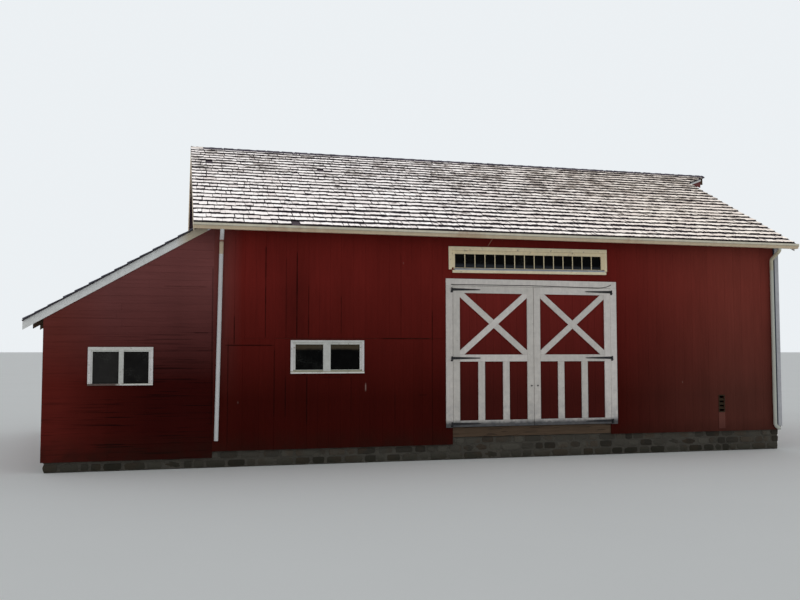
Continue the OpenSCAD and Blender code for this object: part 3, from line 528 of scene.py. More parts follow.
def old_timber(name, grain, dark=(70, 55, 42), light=(112, 92, 74)):
    """Bare timber gone brown and grey. The darker colours given for the vent and the roof boards are painted
    shade.
    """
    recipe = Recipe(name, 0.8, gloss=0.2)
    fibres = recipe.noise(30, GRAIN[grain], 5, 0.6)
    recipe.colour = recipe.blend(fibres, dark, light)
    recipe.shade(recipe.noise(1.1, detail=4), 0.7, 1.25)
    checks = recipe.spots(0.64, 0.68, 1, 44, GRAIN[grain], 2, 0.4, (5, 2, 1))
    recipe.cover(recipe.times(checks, 0.7), (40, 31, 25))
    return recipe.finish(recipe.calc("SUBTRACT", fibres, checks), 0.5, 0.005)


def field_stone(name):
    recipe = Recipe(name, 0.9, gloss=0.1)
    recipe.colour = recipe.blend(recipe.attribute("tone"), (54, 50, 44), (94, 90, 82))
    recipe.cover(recipe.spots(0.5, 0.62, 0.5, 2.3), (82, 68, 56))
    specks = recipe.noise(38, detail=5, rough=0.7)
    recipe.shade(specks, 0.6, 1.35)
    recipe.cover(recipe.along("Z", 0.22, 0.0, 0, 0.6), (44, 44, 34))
    return recipe.finish(specks, 0.7, 0.012)


def lime_mortar(name):
    """Mortar with small stones pressed in it, for the core of the rubble walls."""
    recipe = Recipe(name, 0.95)
    grit = recipe.noise(55, detail=5, rough=0.7)
    joints = recipe.level(recipe.cracks(5.5, (0.8, 0.8, 1.5)), 0.03, 0.09)
    stones = recipe.blend(recipe.noise(3.0), (58, 54, 48), (98, 93, 84))
    recipe.colour = recipe.blend(joints, (84, 79, 70), stones)
    recipe.shade(grit, 0.6, 1.3)
    return recipe.finish(recipe.plus(joints, recipe.times(grit, 0.4)), 0.7, 0.015)


def forged_iron(name):
    """Black iron with a little rust."""
    recipe = Recipe(name, 0.5, 0.35)
    rust = recipe.spots(0.52, 0.68, 0.7, 20, detail=6, rough=0.7)
    hammered = recipe.noise(70)
    recipe.colour = recipe.blend(hammered, (26, 27, 31), (46, 46, 50))
    recipe.cover(rust, (74, 48, 36))
    return recipe.finish(hammered, 0.4, 0.002, recipe.level(rust, 0, 1, 0.42, 0.8))


def painted_metal(name, light, rust_amount, bands=(), blotch=None):
    """Old paint on sheet metal with dirt in runs and rust breaking through. Each band is a height,
    the height where it ends, its colour and its strength."""
    recipe = Recipe(name, 0.55, gloss=0.2)
    runs = recipe.noise(9, (1, 1, 0.12), 4, 0.6)
    recipe.colour = light
    for bottom, top, tint, strength in bands:
        recipe.cover(recipe.within("Z", bottom, top, 0.004, strength), tint)
    recipe.shade(runs, 0.80, 1.14)
    recipe.shade(recipe.noise(0.8), 0.9, 1.1)
    if blotch:
        recipe.cover(recipe.spots(0.52, 0.66, 0.55, 0.9, detail=5, rough=0.7), blotch)
    rust = recipe.spots(0.74 - rust_amount, 0.80 - rust_amount, 0.7, 6, (1, 1, 0.5), 6, 0.7)
    recipe.cover(rust, (128, 84, 54))
    return recipe.finish(recipe.plus(runs, rust), 0.25, 0.002)


def dusty_glass(name):
    """Window glass in front of a dark inside, with dust along its top and webs on the lean-to's panes."""
    recipe = Recipe(name, 0.2, gloss=0.05)
    dust = recipe.noise(6, detail=5, rough=0.65)
    recipe.colour = recipe.blend(recipe.level(dust, 0.45, 0.75, 0, 0.5), (3, 3, 3), (16, 16, 14))
    lean = recipe.times(recipe.along("X", -7.0, -7.1),
                        recipe.along("X", LEAN_WINDOW_MIDDLE, LEAN_WINDOW_MIDDLE + 0.1, 0.85, 0.35))
    recipe.cover(lean, recipe.blend(dust, (36, 34, 33), (62, 60, 58)))
    ragged = recipe.plus(recipe.axes["Z"], recipe.level(dust, 0, 1, -0.03, 0.03))
    olive = recipe.times(recipe.level(ragged, MAIN_PANE_TOP - 0.10, MAIN_PANE_TOP - 0.05),
                         recipe.along("Z", 3.0, 2.9, 0, 0.75), recipe.along("X", -7.1, -7.0))
    recipe.cover(olive, (88, 78, 62))
    bluish = recipe.times(recipe.along("Z", 4.14, 4.09), recipe.along("Z", 3.9, 4.0, 0, 0.8))
    recipe.cover(bluish, (52, 56, 62))
    webs = recipe.times(recipe.level(recipe.cracks(22), 0.03, 0.0, 0, 0.6),
                        recipe.spots(0.52, 0.64, 1, 2.2, shift=(4, 0, 1)))
    recipe.cover(webs, (110, 112, 106))
    return recipe.finish(dust, 0.05, 0.001)


# Seams that show on the front, by their place along the wall
UPPER_SEAMS = (-6.355, -5.745, -5.335, -5.118, -4.880, -4.660, -4.212, -3.954, -2.952, -2.520, -2.275)
LOWER_SEAMS = (-6.472, -5.563, -5.338, -4.909, -4.004, -3.608, -3.080, -2.276)
RIGHT_SEAMS = (2.221, 2.774, 3.165, 3.431, 3.671, 4.757, 5.189, 5.512)
OVER_DOOR_SEAMS = (-1.30, -0.62, 0.366, 1.347)
STRONG_SEAMS = (-6.355, -5.745, -5.118, -4.880, -2.275, -6.472, -5.563, -4.909, 0.366, 2.774)
# Height of the joint between the upper and the lower boards, and top of the boarded-up doorway
BREAK_Z = 2.528
SHUT_DOOR_TOP = 2.386
# Half the width of a dark line, and the lines: the axis that each follows, its two ends, its place on
# the other axis, and how dark it is. Small pale places where paint has come off are given the same way.
LINE_HALF = 0.017
FRONT_LINES = (
    ("Z", 2.55, 4.36, -5.745, 0.70), ("Z", 2.55, 4.27, -5.118, 0.80), ("Z", 2.53, 4.15, -5.335, 0.35),
    ("Z", 2.58, 3.59, -4.880, 0.50), ("Z", 2.64, 3.38, -4.212, 0.50), ("Z", 2.40, 2.96, -6.355, 0.70),
    ("Z", 2.48, 3.12, -2.275, 0.60), ("Z", 0.40, 2.48, -2.276, 0.40), ("Z", 0.46, 2.39, -6.472, 0.45),
    ("Z", 0.98, 2.30, -5.563, 0.50), ("Z", 0.98, 1.75, -5.338, 0.60), ("Z", 0.80, 1.75, -4.909, 0.70),
    ("Z", 1.06, 1.74, -4.004, 0.35), ("Z", 0.76, 1.39, -3.080, 0.35), ("Z", 2.59, 4.27, -2.952, 0.25),
    ("X", -6.52, -5.62, SHUT_DOOR_TOP, 0.70), ("X", -3.35, -2.33, BREAK_Z, 0.80),
    ("X", -2.57, -2.39, 1.36, 0.50), ("X", -4.64, -4.19, 1.74, 0.30))
LEAN_TO_LINES = (("X", -7.12, -6.86, 2.63, 0.70), ("X", -7.69, -6.90, 3.53, 0.35),
                 ("X", -7.72, -6.83, 2.06, 0.40), ("Z", 0.84, 3.89, -6.78, 0.50))
FRONT_FLAKES = (("Z", 1.47, 1.60, -3.70, 0.70), ("Z", 1.26, 1.26, -6.27, 0.70),
                ("Z", 1.57, 1.57, 3.62, 0.90), ("Z", 4.10, 4.10, -2.90, 0.60))

# A dark smudge on the boards over the main window, and the places that other colours start from
SMUDGE = (-5.20, -0.125, 3.20)
MAIN_PANE_TOP = max(high.z for low, high in parts_of("window_glass") if -6 < low.x < -3)
LEAN_WINDOW_MIDDLE = sum(corner.x for corner in parts_of("window_frames")[0]) / 2
CORNER_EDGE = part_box("corner_board")[0].x
GUTTER_BOTTOM, GUTTER_TOP = (corner.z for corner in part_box("front_gutter"))

# Red paint: the colour high up, a darker one low down as painted shade, and two patches of painted haze along
# the wall
UPRIGHT_REDS = ((116, 35, 30), (66, 15, 10), (1.9, 5.0, (132, 60, 51), (96, 52, 44)),
                (-6.2, -6.7, (122, 66, 62), (72, 20, 14)))
LAP_REDS = ((128, 76, 74), (76, 22, 17), (-8.7, -9.6, (124, 66, 60), (100, 34, 28)),
            (-8.8, -8.0, (124, 72, 70), (58, 13, 10)))
red_upright = red_paint("red_paint_on_upright_boards", "Z", *UPRIGHT_REDS)
red_front = red_paint("red_paint_on_the_front", "Z", *UPRIGHT_REDS, marks=FRONT_LINES, flakes=FRONT_FLAKES)
red_patch = red_paint("pinkish_paint_on_the_patch", "Z", (132, 80, 70), (112, 68, 60))
red_door = red_paint("red_paint_on_door_boards", "Z", (126, 42, 38), (77, 27, 23))
red_level_x = red_paint("red_paint_on_lap_boards", "X", *LAP_REDS)
red_level_front = red_paint("red_paint_on_front_lap_boards", "X", *LAP_REDS, marks=LEAN_TO_LINES)
red_level_y = red_paint("red_paint_on_side_lap_boards", "Y", (122, 50, 44), (82, 27, 20))
white_upright = white_paint("white_paint_on_uprights", "Z", 0.2, (244, 236, 230), (218, 212, 204), grimy=True)
white_level = white_paint("white_paint_on_rakes", "X", 0.3, (255, 253, 252), (236, 238, 234),
                          (-7.5, -7.25, -6.9, (206, 194, 172)))
# The corner board's edge by the downspout gets a dark blue band: a painted shadow of the pipe.
white_corner = white_paint("white_paint_and_painted_pipe_shadow_on_the_corner", "Z", 0.1, (208, 206, 208), (188, 190, 196),
                           (CORNER_EDGE + 0.032, CORNER_EDGE + 0.020, CORNER_EDGE + 1, (66, 70, 84)))
white_sill = white_paint("worn_paint_on_sills", "X", 0.6, (246, 242, 236), (176, 172, 146),
                         (LEAN_WINDOW_MIDDLE, LEAN_WINDOW_MIDDLE - 0.1, -7.0, (112, 96, 90)))
grey_sill = white_paint("grey_paint_on_the_sill_over_the_doors", "X", 0.5, (196, 200, 208), (170, 176, 186))
white_window = white_paint("white_paint_on_windows", "X", 0.45, (238, 233, 233), (204, 207, 194))
cream_transom = white_paint("cream_paint_over_the_doors", "X", 0.45, (255, 240, 206), (244, 224, 182))
shakes_main = weathered_shakes("weathered_shakes_and_painted_shadows_of_main_roof", "Y")
shakes_lean = weathered_shakes("weathered_shakes_and_painted_shadows_of_lean_to", "X", (96, 98, 112))
shakes_ridge = ridge_shakes("weathered_shakes_of_the_ridge")
timber_x = old_timber("old_timber_along_the_barn", "X")
timber_y = old_timber("old_timber_across_the_barn", "Y")
timber_z = old_timber("old_timber_upright", "Z")
# The vent's louvre timber is darker than the rest as painted shade, so that the vent reads as a dark opening.
vent_timber = old_timber("olive_brown_timber_and_painted_shade_of_the_vent", "X", (44, 34, 22), (74, 58, 40))
dark_strip = old_timber("blackened_strip", "X", (28, 26, 26), (50, 46, 44))
# Roof boards are dark bluish grey as painted shade, for the dark layer along the roofs' edges.
roof_boards_x = old_timber("roof_boards_in_painted_shade_along_the_barn", "X", (42, 34, 44), (78, 66, 74))
roof_boards_y = old_timber("roof_boards_in_painted_shade_across_the_barn", "Y", (42, 38, 46), (82, 76, 80))
stone = field_stone("field_stone")
mortar = lime_mortar("lime_mortar")
iron = forged_iron("forged_iron")
gutter_paint = painted_metal("gutter_paint", (238, 230, 208), 0.0,
                             ((GUTTER_TOP - 0.052, GUTTER_TOP - 0.044, (66, 58, 50), 0.9),
                              (GUTTER_BOTTOM - 0.01, GUTTER_TOP - 0.052, (226, 206, 176), 1.0)),
                             (186, 146, 118))
spout_paint = painted_metal("left_downspout_paint", (222, 222, 222), 0.0,
                            ((4.415, 4.450, (140, 84, 52), 0.9), (4.18, 4.415, (206, 186, 156), 0.9)))
grey_spout_paint = painted_metal("right_downspout_paint", (206, 208, 196), 0.0,
                                 ((4.15, 4.60, (206, 196, 166), 0.8),))
rusty_strap = painted_metal("rusty_strap_paint", (150, 104, 88), 0.1)
glass = dusty_glass("dusty_window_glass")


# Walls

def seams_between(start, end, rng, marked=(), width=BOARD_W):
    """Places of the seams from start to end: the marked ones, and more about a board's width apart."""
    places = [start]
    for place in [*marked, end]:
        first, gap = places[-1], place - places[-1]
        count = max(1, round(gap / width))
        places += [first + gap * k / count + rng.uniform(-0.018, 0.018) for k in range(1, count)]
        places.append(place)
    return places


plain_board = pattern()


def upright_boards(seams, faces, heights, rng, strong=(), along="X", gap=0.0005):
    """Upright boards between seams, of uneven depth, with twice the gap at a strong seam. faces are the
    outer and the inner face."""
    outer, inner = faces
    boards = []
    for ends in zip(seams, seams[1:]):
        low, high = (end + way * (2 * gap if any(abs(end - seam) < 0.002 for seam in strong) else gap)
                     for end, way in zip(ends, (1, -1)))
        face = outer + (inner - outer) * rng.uniform(0, 0.05)
        fit = laid(along, (low, high), (face, inner), heights)
        boards.append(copy_of(plain_board, fit, rng.uniform(0, 1)))
    return boards


def lap_boards(faces, ends, heights, rng, along="X"):
    """Level boards, each thinner at its top edge, so that the next one's butt stands proud."""
    outer, inner = faces
    lap = pattern()
    depth = 1 if along == "X" else 0
    front = -0.5 if outer < inner else 0.5
    with editing(lap):
        move(lap, lambda e: middle(e)[2] > 0.4 and abs(middle(e)[depth] - front) < 0.1,
             (0, -front * 0.4, 0) if along == "X" else (-front * 0.4, 0, 0), "EDGE")
    boards = []
    z, top = heights
    while z < top:
        joint = rng.uniform(0.25, 0.75)
        shares = [0, joint, 1] if rng.random() < 0.75 else [0, 1]
        height = LAP_H * rng.uniform(0.94, 1.06)
        for a, b in zip(shares, shares[1:]):
            low = ends[0] + a * (ends[1] - ends[0]) + (0.001 if a else 0)
            high = ends[0] + b * (ends[1] - ends[0]) - (0.001 if b < 1 else 0)
            face = outer + (inner - outer) * rng.uniform(0, 0.06)
            sag = rng.uniform(-0.004, 0.004)
            fit = laid(along, (low, high), (face, inner), (z + sag, z + height + sag + 0.004))
            boards.append(copy_of(lap, fit, rng.uniform(0, 1)))
        z += height
    return boards


# Windows, measured from their casings' left edge, right edge, top and bottom to the panes, and from
# the left edge to both edges of the upright between the panes, with the width of the sash
MAIN_WINDOW = {"left": 0.098, "right": 0.091, "top": 0.086, "bottom": 0.075, "upright": (0.659, 0.809),
               "sash": 0.045}
LEAN_WINDOW = {"left": 0.087, "right": 0.083, "top": 0.089, "bottom": 0.034, "upright": (0.560, 0.649),
               "sash": 0.030}
# The row of lights over the doors: area of its panes, width of its sash, height of its casing's foot,
# tilt, and number of lights
TRANSOM_PANES = next(((low.x, low.z), (high.x, high.z)) for low, high in parts_of("window_glass")
                     if low.z > 3)
TRANSOM_SASH = 0.076
TRANSOM_FOOT = 0.070
TRANSOM_TILT = math.radians(-0.45)
LIGHTS = 15
# Planes: front of the casings, outer and inner face of the boards, and outer face of the glass
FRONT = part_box("door_casing")[0].y
FACE, INNER = (corner.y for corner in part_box("front_wall_right"))
GLASS_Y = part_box("window_glass")[0].y
# Depth of a sash behind the casing and of a pane, a sill's nose, and the frame's width in the wall
SASH_BACK = 0.008
PANE_T = 0.006
SILL_NOSE_H = 0.030
NOSE_OUT = 0.022
LINER = 0.030


def pane_area(outer, inset):
    """Corners, in X and Z, of the area of a window's panes inside its casing."""
    low, high = outer
    return ((low.x + inset["left"], low.z + inset["bottom"]),
            (high.x - inset["right"], high.z - inset["top"]))


def hole_behind(area, more=0.0):
    """Corners of the hole behind a window, as wide as the liner round its panes."""
    (x0, z0), (x1, z1) = area
    room = LINER + more
    return (x0 - LINER, FACE - 0.2, z0 - room), (x1 + LINER, INNER + 0.2, z1 + room)


def front_walls():
    rng = random.Random(11)
    low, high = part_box("front_wall_left")
    faces = (low.y, high.y)
    shut_left, shut_right = LOWER_SEAMS[:2]
    boards = upright_boards(seams_between(low.x, high.x, rng, UPPER_SEAMS), faces, (BREAK_Z + 0.001, high.z),
                            rng, STRONG_SEAMS)
    boards += upright_boards(seams_between(low.x, shut_left, rng), faces, (low.z, BREAK_Z - 0.001), rng,
                             STRONG_SEAMS)
    seams = seams_between(shut_left, shut_right, rng, width=0.3)
    boards += upright_boards(seams, (faces[0] + 0.004, faces[1]), (low.z, SHUT_DOOR_TOP - 0.004), rng,
                             STRONG_SEAMS)
    boards += upright_boards(seams, faces, (SHUT_DOOR_TOP + 0.001, BREAK_Z - 0.001), rng)
    boards += upright_boards(seams_between(shut_right, high.x, rng, LOWER_SEAMS[2:]), faces,
                             (low.z, BREAK_Z - 0.004), rng, STRONG_SEAMS)
    hole = hole_behind(pane_area(parts_of("window_frames")[1], MAIN_WINDOW))
    piece("front_wall_left_boards", boards, red_front, "red_boards", "front_wall_left", ease=WALL_EASE,
          holes=[hole])
    vent_low, vent_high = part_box("wall_vent")
    rim = Vector((0.020, -0.2, 0.020))
    for node, marked, hole in (("front_wall_right", RIGHT_SEAMS, (vent_low + rim, vent_high - rim)),
                               ("front_wall_over_door", OVER_DOOR_SEAMS, hole_behind(TRANSOM_PANES, 0.025))):
        low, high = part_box(node)
        seams = seams_between(low.x, high.x, rng, marked)
        boards = upright_boards(seams, faces, (low.z, high.z), rng, STRONG_SEAMS)
        piece(f"{node}_boards", boards, red_front, "red_boards", node, ease=WALL_EASE, holes=[hole])


def back_and_gable_walls():
    rng = random.Random(12)
    for node in ("back_wall", "left_gable_wall", "right_gable_wall"):
        low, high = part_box(node)
        along, ends, faces = "Y", (low.y, high.y), (low.x, high.x)
        if node == "back_wall":
            along, ends, faces = "X", faces, ends
        if node != "left_gable_wall":
            faces = faces[::-1]
        boards = upright_boards(seams_between(*ends, rng), faces, (low.z, high.z), rng, along=along)
        wall = join(f"{node}_boards", boards)
        if along == "Y":
            ridge = (0, (low.y + high.y) / 2, high.z)
            for way in (-1, 1):
                cut_off(wall, ridge, (0, way * math.sin(MAIN_PITCH), math.cos(MAIN_PITCH)))
        piece(f"{node}_boards", [wall], red_upright, "red_boards", node, ease=WALL_EASE)


def lean_to_walls():
    rng = random.Random(13)
    area = pane_area(parts_of("window_frames")[0], LEAN_WINDOW)
    for node, material in (("lean_to_front_wall", red_level_front), ("lean_to_back_wall", red_level_x)):
        low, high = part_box(node)
        is_front = node == "lean_to_front_wall"
        faces = (low.y, high.y) if is_front else (high.y, low.y)
        boards = lap_boards(faces, (low.x, high.x), (low.z, high.z), rng)
        for board in boards if is_front else ():
            heights = [corner[2] for corner in board.bound_box]
            if min(heights) < area[1][1] + LINER and max(heights) > area[0][1] - LINER:
                cut_hole(board, *hole_behind(area))
        boards = cut_each(boards, (high.x, 0, high.z), (-math.sin(LEAN_PITCH), 0, math.cos(LEAN_PITCH)))
        piece(f"{node}_boards", boards, material, "red_boards", node)
    low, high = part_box("lean_to_side_wall")
    boards = lap_boards((low.x, high.x), (low.y, high.y), (low.z, high.z), rng, "Y")
    boards = cut_each(boards, (0, 0, high.z), (0, 0, 1))
    piece("lean_to_side_wall_boards", boards, red_level_y, "red_boards", "lean_to_side_wall")


# Roofs. The front slope is way -1 and the back slope way 1.

def slope_frame(origin, across, up):
    """Frame of a roof slope: across it, up it, and out of it."""
    across, up = Vector(across), Vector(up)
    return Matrix.Translation(origin) @ Matrix((across, up, across.cross(up))).transposed().to_4x4()


def main_slope(way, y, z):
    """Frame of a slope of the main roof that starts at a place and height."""
    return slope_frame((0, y, z), (-way, 0, 0), (0, -way * math.cos(MAIN_PITCH), math.sin(MAIN_PITCH)))


def ends_on(way, low, high):
    """Ends of a box along the barn, as they lie across a slope of the main roof."""
    return (low.x, high.x) if way < 0 else (-high.x, -low.x)


def shake_patterns(rng, columns=4):
    """Split shakes a unit wide, long and thick: thin at the top end, with an uneven butt and face."""
    shakes = [pattern((0, 0, 0), (1, 1, 1)) for k in range(8)]
    for shake in shakes:
        with editing(shake):
            divide(shake, columns)
            move(shake, lambda v: v.co.y > 0.5 and v.co.z > 0.5, (0, 0, -0.85))
            slant = rng.uniform(-0.06, 0.06)
            for column in range(columns + 1):
                x = column / columns
                move(shake, lambda v: abs(v.co.x - x) < 0.01 and v.co.y < 0.3,
                     (0, slant * (x - 0.5) + rng.uniform(-0.02, 0.02), 0))
                move(shake, lambda v: abs(v.co.x - x) < 0.01 and v.co.y < 0.3 and v.co.z > 0.5,
                     (0, 0, rng.uniform(-0.16, 0.0)))
        mark(shake, "along", [v.co.y for v in shake.data.vertices], "POINT")
        # end marks the butts and sides, which the material darkens, partly as painted shade.
        mark(shake, "end", [1.0 if face.normal.y < -0.8 or abs(face.normal.x) > 0.8 else 0.0
                            for face in shake.data.polygons])
    return shakes


def course_starts(length, courses, ease=0.0):
    """Distances up a slope at which its courses start, and the slope's top."""
    shares = [k / courses for k in range(courses + 1)]
    return [length * share * (1 + ease * (1 - share)) for share in shares]


def lay_shakes(models, base, across, starts, roof_t, rng, gone=(), first=0):
    """Courses of shakes on a slope, butts a little uneven, joints open a few millimetres."""
    shakes = []
    for course in range(first, len(starts) - 1):
        a = across[0] + rng.uniform(0, 0.012)
        end = across[1] - rng.uniform(0, 0.018)
        wave = rng.uniform(0, math.tau)
        exposure = starts[course + 1] - starts[course]
        top_course = course == len(starts) - 2
        while a < end - 0.03:
            width = rng.choice((0.09, 0.12, 0.15, 0.17, 0.19, 0.22, 0.26)) * rng.uniform(0.9, 1.1)
            width = min(width, end - a)
            if end - a - width < 0.06:
                width = end - a
            joint = rng.choice((0.004, 0.007, 0.010, 0.018)) * rng.uniform(0.8, 1.2)
            drift = 0.014 * math.sin(0.8 * a + wave) + rng.uniform(-0.024, 0.024)
            if course == 0:
                drift = 0.016 + abs(drift) * 0.5
            length = exposure * (1.0 if top_course else 1.2) - drift
            lift = rng.uniform(0, 0.003) + (0.006 if rng.random() < 0.04 else 0)
            tone = min(1, max(0, rng.gauss(0.66, 0.2)))
            if not any(course == row and low < a + width / 2 < high for row, low, high in gone):
                thick = roof_t - SHEATHING_T - (0.003 - lift if course else 0.002)
                fit = fitted((a, starts[course] + drift, SHEATHING_T), (width - joint, length, thick))
                shakes.append(copy_of(rng.choice(models), base @ fit, tone))
            a += width
    return shakes


def board_joints(ends, early, rng):
    """Both ends of a row of boards, and three joints between them."""
    low, high = ends
    joints = [low + (high - low) * rng.uniform(k + early, k + 1 - early) / 3 for k in range(3)]
    return [low, *sorted(joints), high]


def lay_sheathing(base, across, length, rng):
    """Roof boards under the shakes, in several lengths, with gaps between the rows."""
    model = pattern((0, 0, 0), (1, 1, 1))
    rows = round(length / 0.235)
    boards = []
    for row in range(rows):
        joints = board_joints(across, 0.2, rng)
        start = row * length / rows + (0.003 if row else 0)
        for a, b in zip(joints, joints[1:]):
            size = (b - a - 0.002, length / rows - 0.006, SHEATHING_T - rng.uniform(0, 0.002))
            boards.append(copy_of(model, base @ fitted((a + 0.001, start, 0), size), rng.uniform(0, 1)))
    return boards


def roofs():
    rng = random.Random(21)
    models = shake_patterns(rng)
    low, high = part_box("main_roof_front")
    ridge_y = high.y
    run = high.y - low.y - MAIN_ROOF_T * math.sin(MAIN_PITCH)
    length = run / math.cos(MAIN_PITCH)
    starts = course_starts(length, MAIN_COURSES, MAIN_COURSE_EASE)
    bases = {way: main_slope(way, ridge_y + way * run, low.z) for way in (-1, 1)}
    for way, node, gone in ((-1, "main_roof_front", MISSING_SHAKES), (1, "main_roof_back", ())):
        across = ends_on(way, low, high)
        shakes = lay_shakes(models, bases[way], across, starts, MAIN_ROOF_T, rng, gone)
        piece(f"{node}_shakes", shakes, shakes_main, "weathered_shakes", node)
        boards = lay_sheathing(bases[way], across, length, rng)
        piece(f"{node}_sheathing", boards, roof_boards_x, "old_timber")

    low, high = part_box("hay_hood_roof")
    half = (high.y - low.y) / 2
    hood_start = (low.y - (ridge_y - run)) / math.cos(MAIN_PITCH)
    first = max(k for k, start in enumerate(starts) if start < hood_start)
    shakes, covers = [], []
    for way, base in bases.items():
        across = ends_on(way, low, high)
        edge = ((low.x, ridge_y + way * half, 0), (half, way * (high.x - low.x), 0))
        shakes += cut_each(lay_shakes(models, base, across, starts, MAIN_ROOF_T, rng, first=first), *edge)
        covers.append(join("hood_boards", lay_sheathing(base, across, length, rng)))
        cut_off(covers[-1], *edge)
    piece("hay_hood_shakes", shakes, shakes_main, "weathered_shakes", "hay_hood_roof")
    piece("hay_hood_sheathing", covers, roof_boards_x, "old_timber")

    low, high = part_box("lean_to_roof")
    run = high.x - low.x - LEAN_ROOF_T * math.sin(LEAN_PITCH)
    length = run / math.cos(LEAN_PITCH)
    base = slope_frame((high.x - run, 0, low.z), (0, -1, 0), (math.cos(LEAN_PITCH), 0, math.sin(LEAN_PITCH)))
    across = (-high.y, -low.y)
    shakes = lay_shakes(models, base, across, course_starts(length, LEAN_COURSES), LEAN_ROOF_T, rng)
    piece("lean_to_roof_shakes", shakes, shakes_lean, "weathered_shakes", "lean_to_roof")
    piece("lean_to_roof_sheathing", lay_sheathing(base, across, length, rng), roof_boards_y, "old_timber")


def ridge_pieces():
    """Short pieces along the ridge on both slopes, each thicker at the end that laps its neighbour."""
    rng = random.Random(22)
    low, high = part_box("ridge_cap")
    ridge_y = (low.y + high.y) / 2
    width = ((high.y - low.y) / 2 - RIDGE_T * math.sin(MAIN_PITCH)) / math.cos(MAIN_PITCH)
    model = pattern((0, -1, -1), (1, 0, 0))
    with editing(model):
        move(model, lambda e: middle(e).x < 0.1 and middle(e).z > -0.1, (0, 0, -0.6), "EDGE")
    sides = []
    for way in (-1, 1):
        base = main_slope(way, ridge_y, high.z)
        a, end = ends_on(way, low, high)
        pieces = []
        while a < end - 0.01:
            bleached = way < 0 and not pieces
            length = min(0.30 if bleached else rng.uniform(0.20, 0.42), end - a)
            fit = fitted((a, 0, 0), (length - 0.001, width - rng.uniform(0, 0.012), RIDGE_T))
            pieces.append(copy_of(model, base @ fit, 1.0 if bleached else rng.uniform(0, 0.8)))
            a += length
        sides += cut_each(pieces, (0, ridge_y, 0), (0, -way, 0))
    piece("ridge_cap_pieces", sides, shakes_ridge, "weathered_shakes", "ridge_cap")


# Doors

# Widths of a leaf's frame boards and of its crossed braces, height of its foot rail, middle of its
# middle rail over its bottom, number of slats below, and gaps at its boards' ends and round the leaf
STILE_W = 0.148
BRACE_W = 0.128
FOOT_RAIL_H = 0.133
MID_RAIL_Z = 1.442
SLATS = 2
BOARD_GAP = 0.0006
LEAF_GAP = 0.005
# Bolts of a strap by their distance from its hinge, and latches: distance from the leaf's free edge,
# and height
BOLT_PLACES = (0.10, 0.27, 0.44)
LATCH_IN = {"left": 0.055, "right": 0.080}
LATCH_Z = 1.53


def toned_block(x0, y0, z0, x1, y1, z1, tone, shy=0.0004):
    """A board between two corners, a hair smaller so that it stands apart, with a tone of its own."""
    made = block((x0 + shy, y0, z0 + shy), (x1 - shy, y1, z1 - shy))
    set_tone(made, tone)
    return made


def leaf_frame(name, side, rng):
    """Frame boards of a leaf: stiles, rails, slats below and two crossed braces above."""
    low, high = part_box(f"{name}_door_frame")
    left, right = low.x + STILE_W, high.x - STILE_W
    foot, upper = low.z + FOOT_RAIL_H, high.z - STILE_W
    mid_low, mid_high = low.z + MID_RAIL_Z - STILE_W / 2, low.z + MID_RAIL_Z + STILE_W / 2
    gap = (right - left - SLATS * STILE_W) / (SLATS + 1)
    slats = [left + (k + 1) * gap + k * STILE_W for k in range(SLATS)]
    boards = [(low.x, left, low.z, high.z, 0), (right, high.x, low.z, high.z, 0),
              (left, right, low.z, foot, 0.001), (left, right, mid_low, mid_high, 0.001),
              (left, right, upper, high.z, 0.001), *((x, x + STILE_W, foot, mid_low, 0.0015) for x in slats)]
    parts = [toned_block(x0, low.y + sink, z0, x1, high.y, z1, rng.uniform(0.1, 0.9), BOARD_GAP)
             for x0, x1, z0, z1, sink in boards]

    width = right - left
    centre = Vector(((left + right) / 2, 0, (mid_high + upper) / 2))
    rise = math.atan2(upper - mid_high, width)
    for way in (-side, side):
        turn = Matrix.Rotation(-way * rise, 4, "Y")
        brace = block((-width, low.y + 0.002, -BRACE_W / 2), (width, high.y, BRACE_W / 2))
        brace.data.transform(Matrix.Translation(centre) @ turn)
        tone = rng.uniform(0.2, 0.8)
        set_tone(brace, tone)
        for point, outward in (((left, 0, 0), (-1, 0, 0)), ((right, 0, 0), (1, 0, 0)),
                               ((0, 0, mid_high), (0, 0, -1)), ((0, 0, upper), (0, 0, 1))):
            cut_off(brace, Vector(point) - BOARD_GAP * Vector(outward), outward)
        parts.append(brace)
        if way == -side:
            over = turn @ Vector((0, 0, 1))
            continue
        parts.append(copy_of(brace, Matrix(), tone))
        for half, outward in zip(parts[-2:], (over, -over)):
            cut_off(half, centre - outward * (BRACE_W / 2 + BOARD_GAP), outward)
    piece(f"{name}_door_frame_boards", parts, white_upright, "white_paint", f"{name}_door_frame", ease=0.0025,
          body=f"{name}_door")


def leaf_boards(name, rng):
    low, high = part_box(f"{name}_door_boards")
    seams = seams_between(low.x, high.x, rng, width=0.19)
    boards = upright_boards(seams, (low.y, high.y), (low.z, high.z), rng, gap=0.0008)
    piece(f"{name}_door_board_panel", boards, red_door, "red_boards", f"{name}_door_boards", ease=0.0015,
          body=f"{name}_door")


def bolt_head(place, radius, height):
    """A domed head that stands out of a face towards the front."""
    deselect()
    bpy.ops.mesh.primitive_cylinder_add(vertices=12, radius=radius, depth=height, location=place,
                                        rotation=(math.pi / 2, 0, 0))
    head = bpy.context.object
    bpy.ops.object.transform_apply(location=True, rotation=True, scale=True)
    head.data.transform(Matrix.Translation((0, -height / 2, 0)))
    with editing(head, "FACE"):
        choose(head, lambda f: f.normal.y < -0.9, "FACE")
        bpy.ops.mesh.inset(thickness=radius * 0.45, depth=0)
        bpy.ops.transform.translate(value=(0, -height * 0.35, 0))
    return head


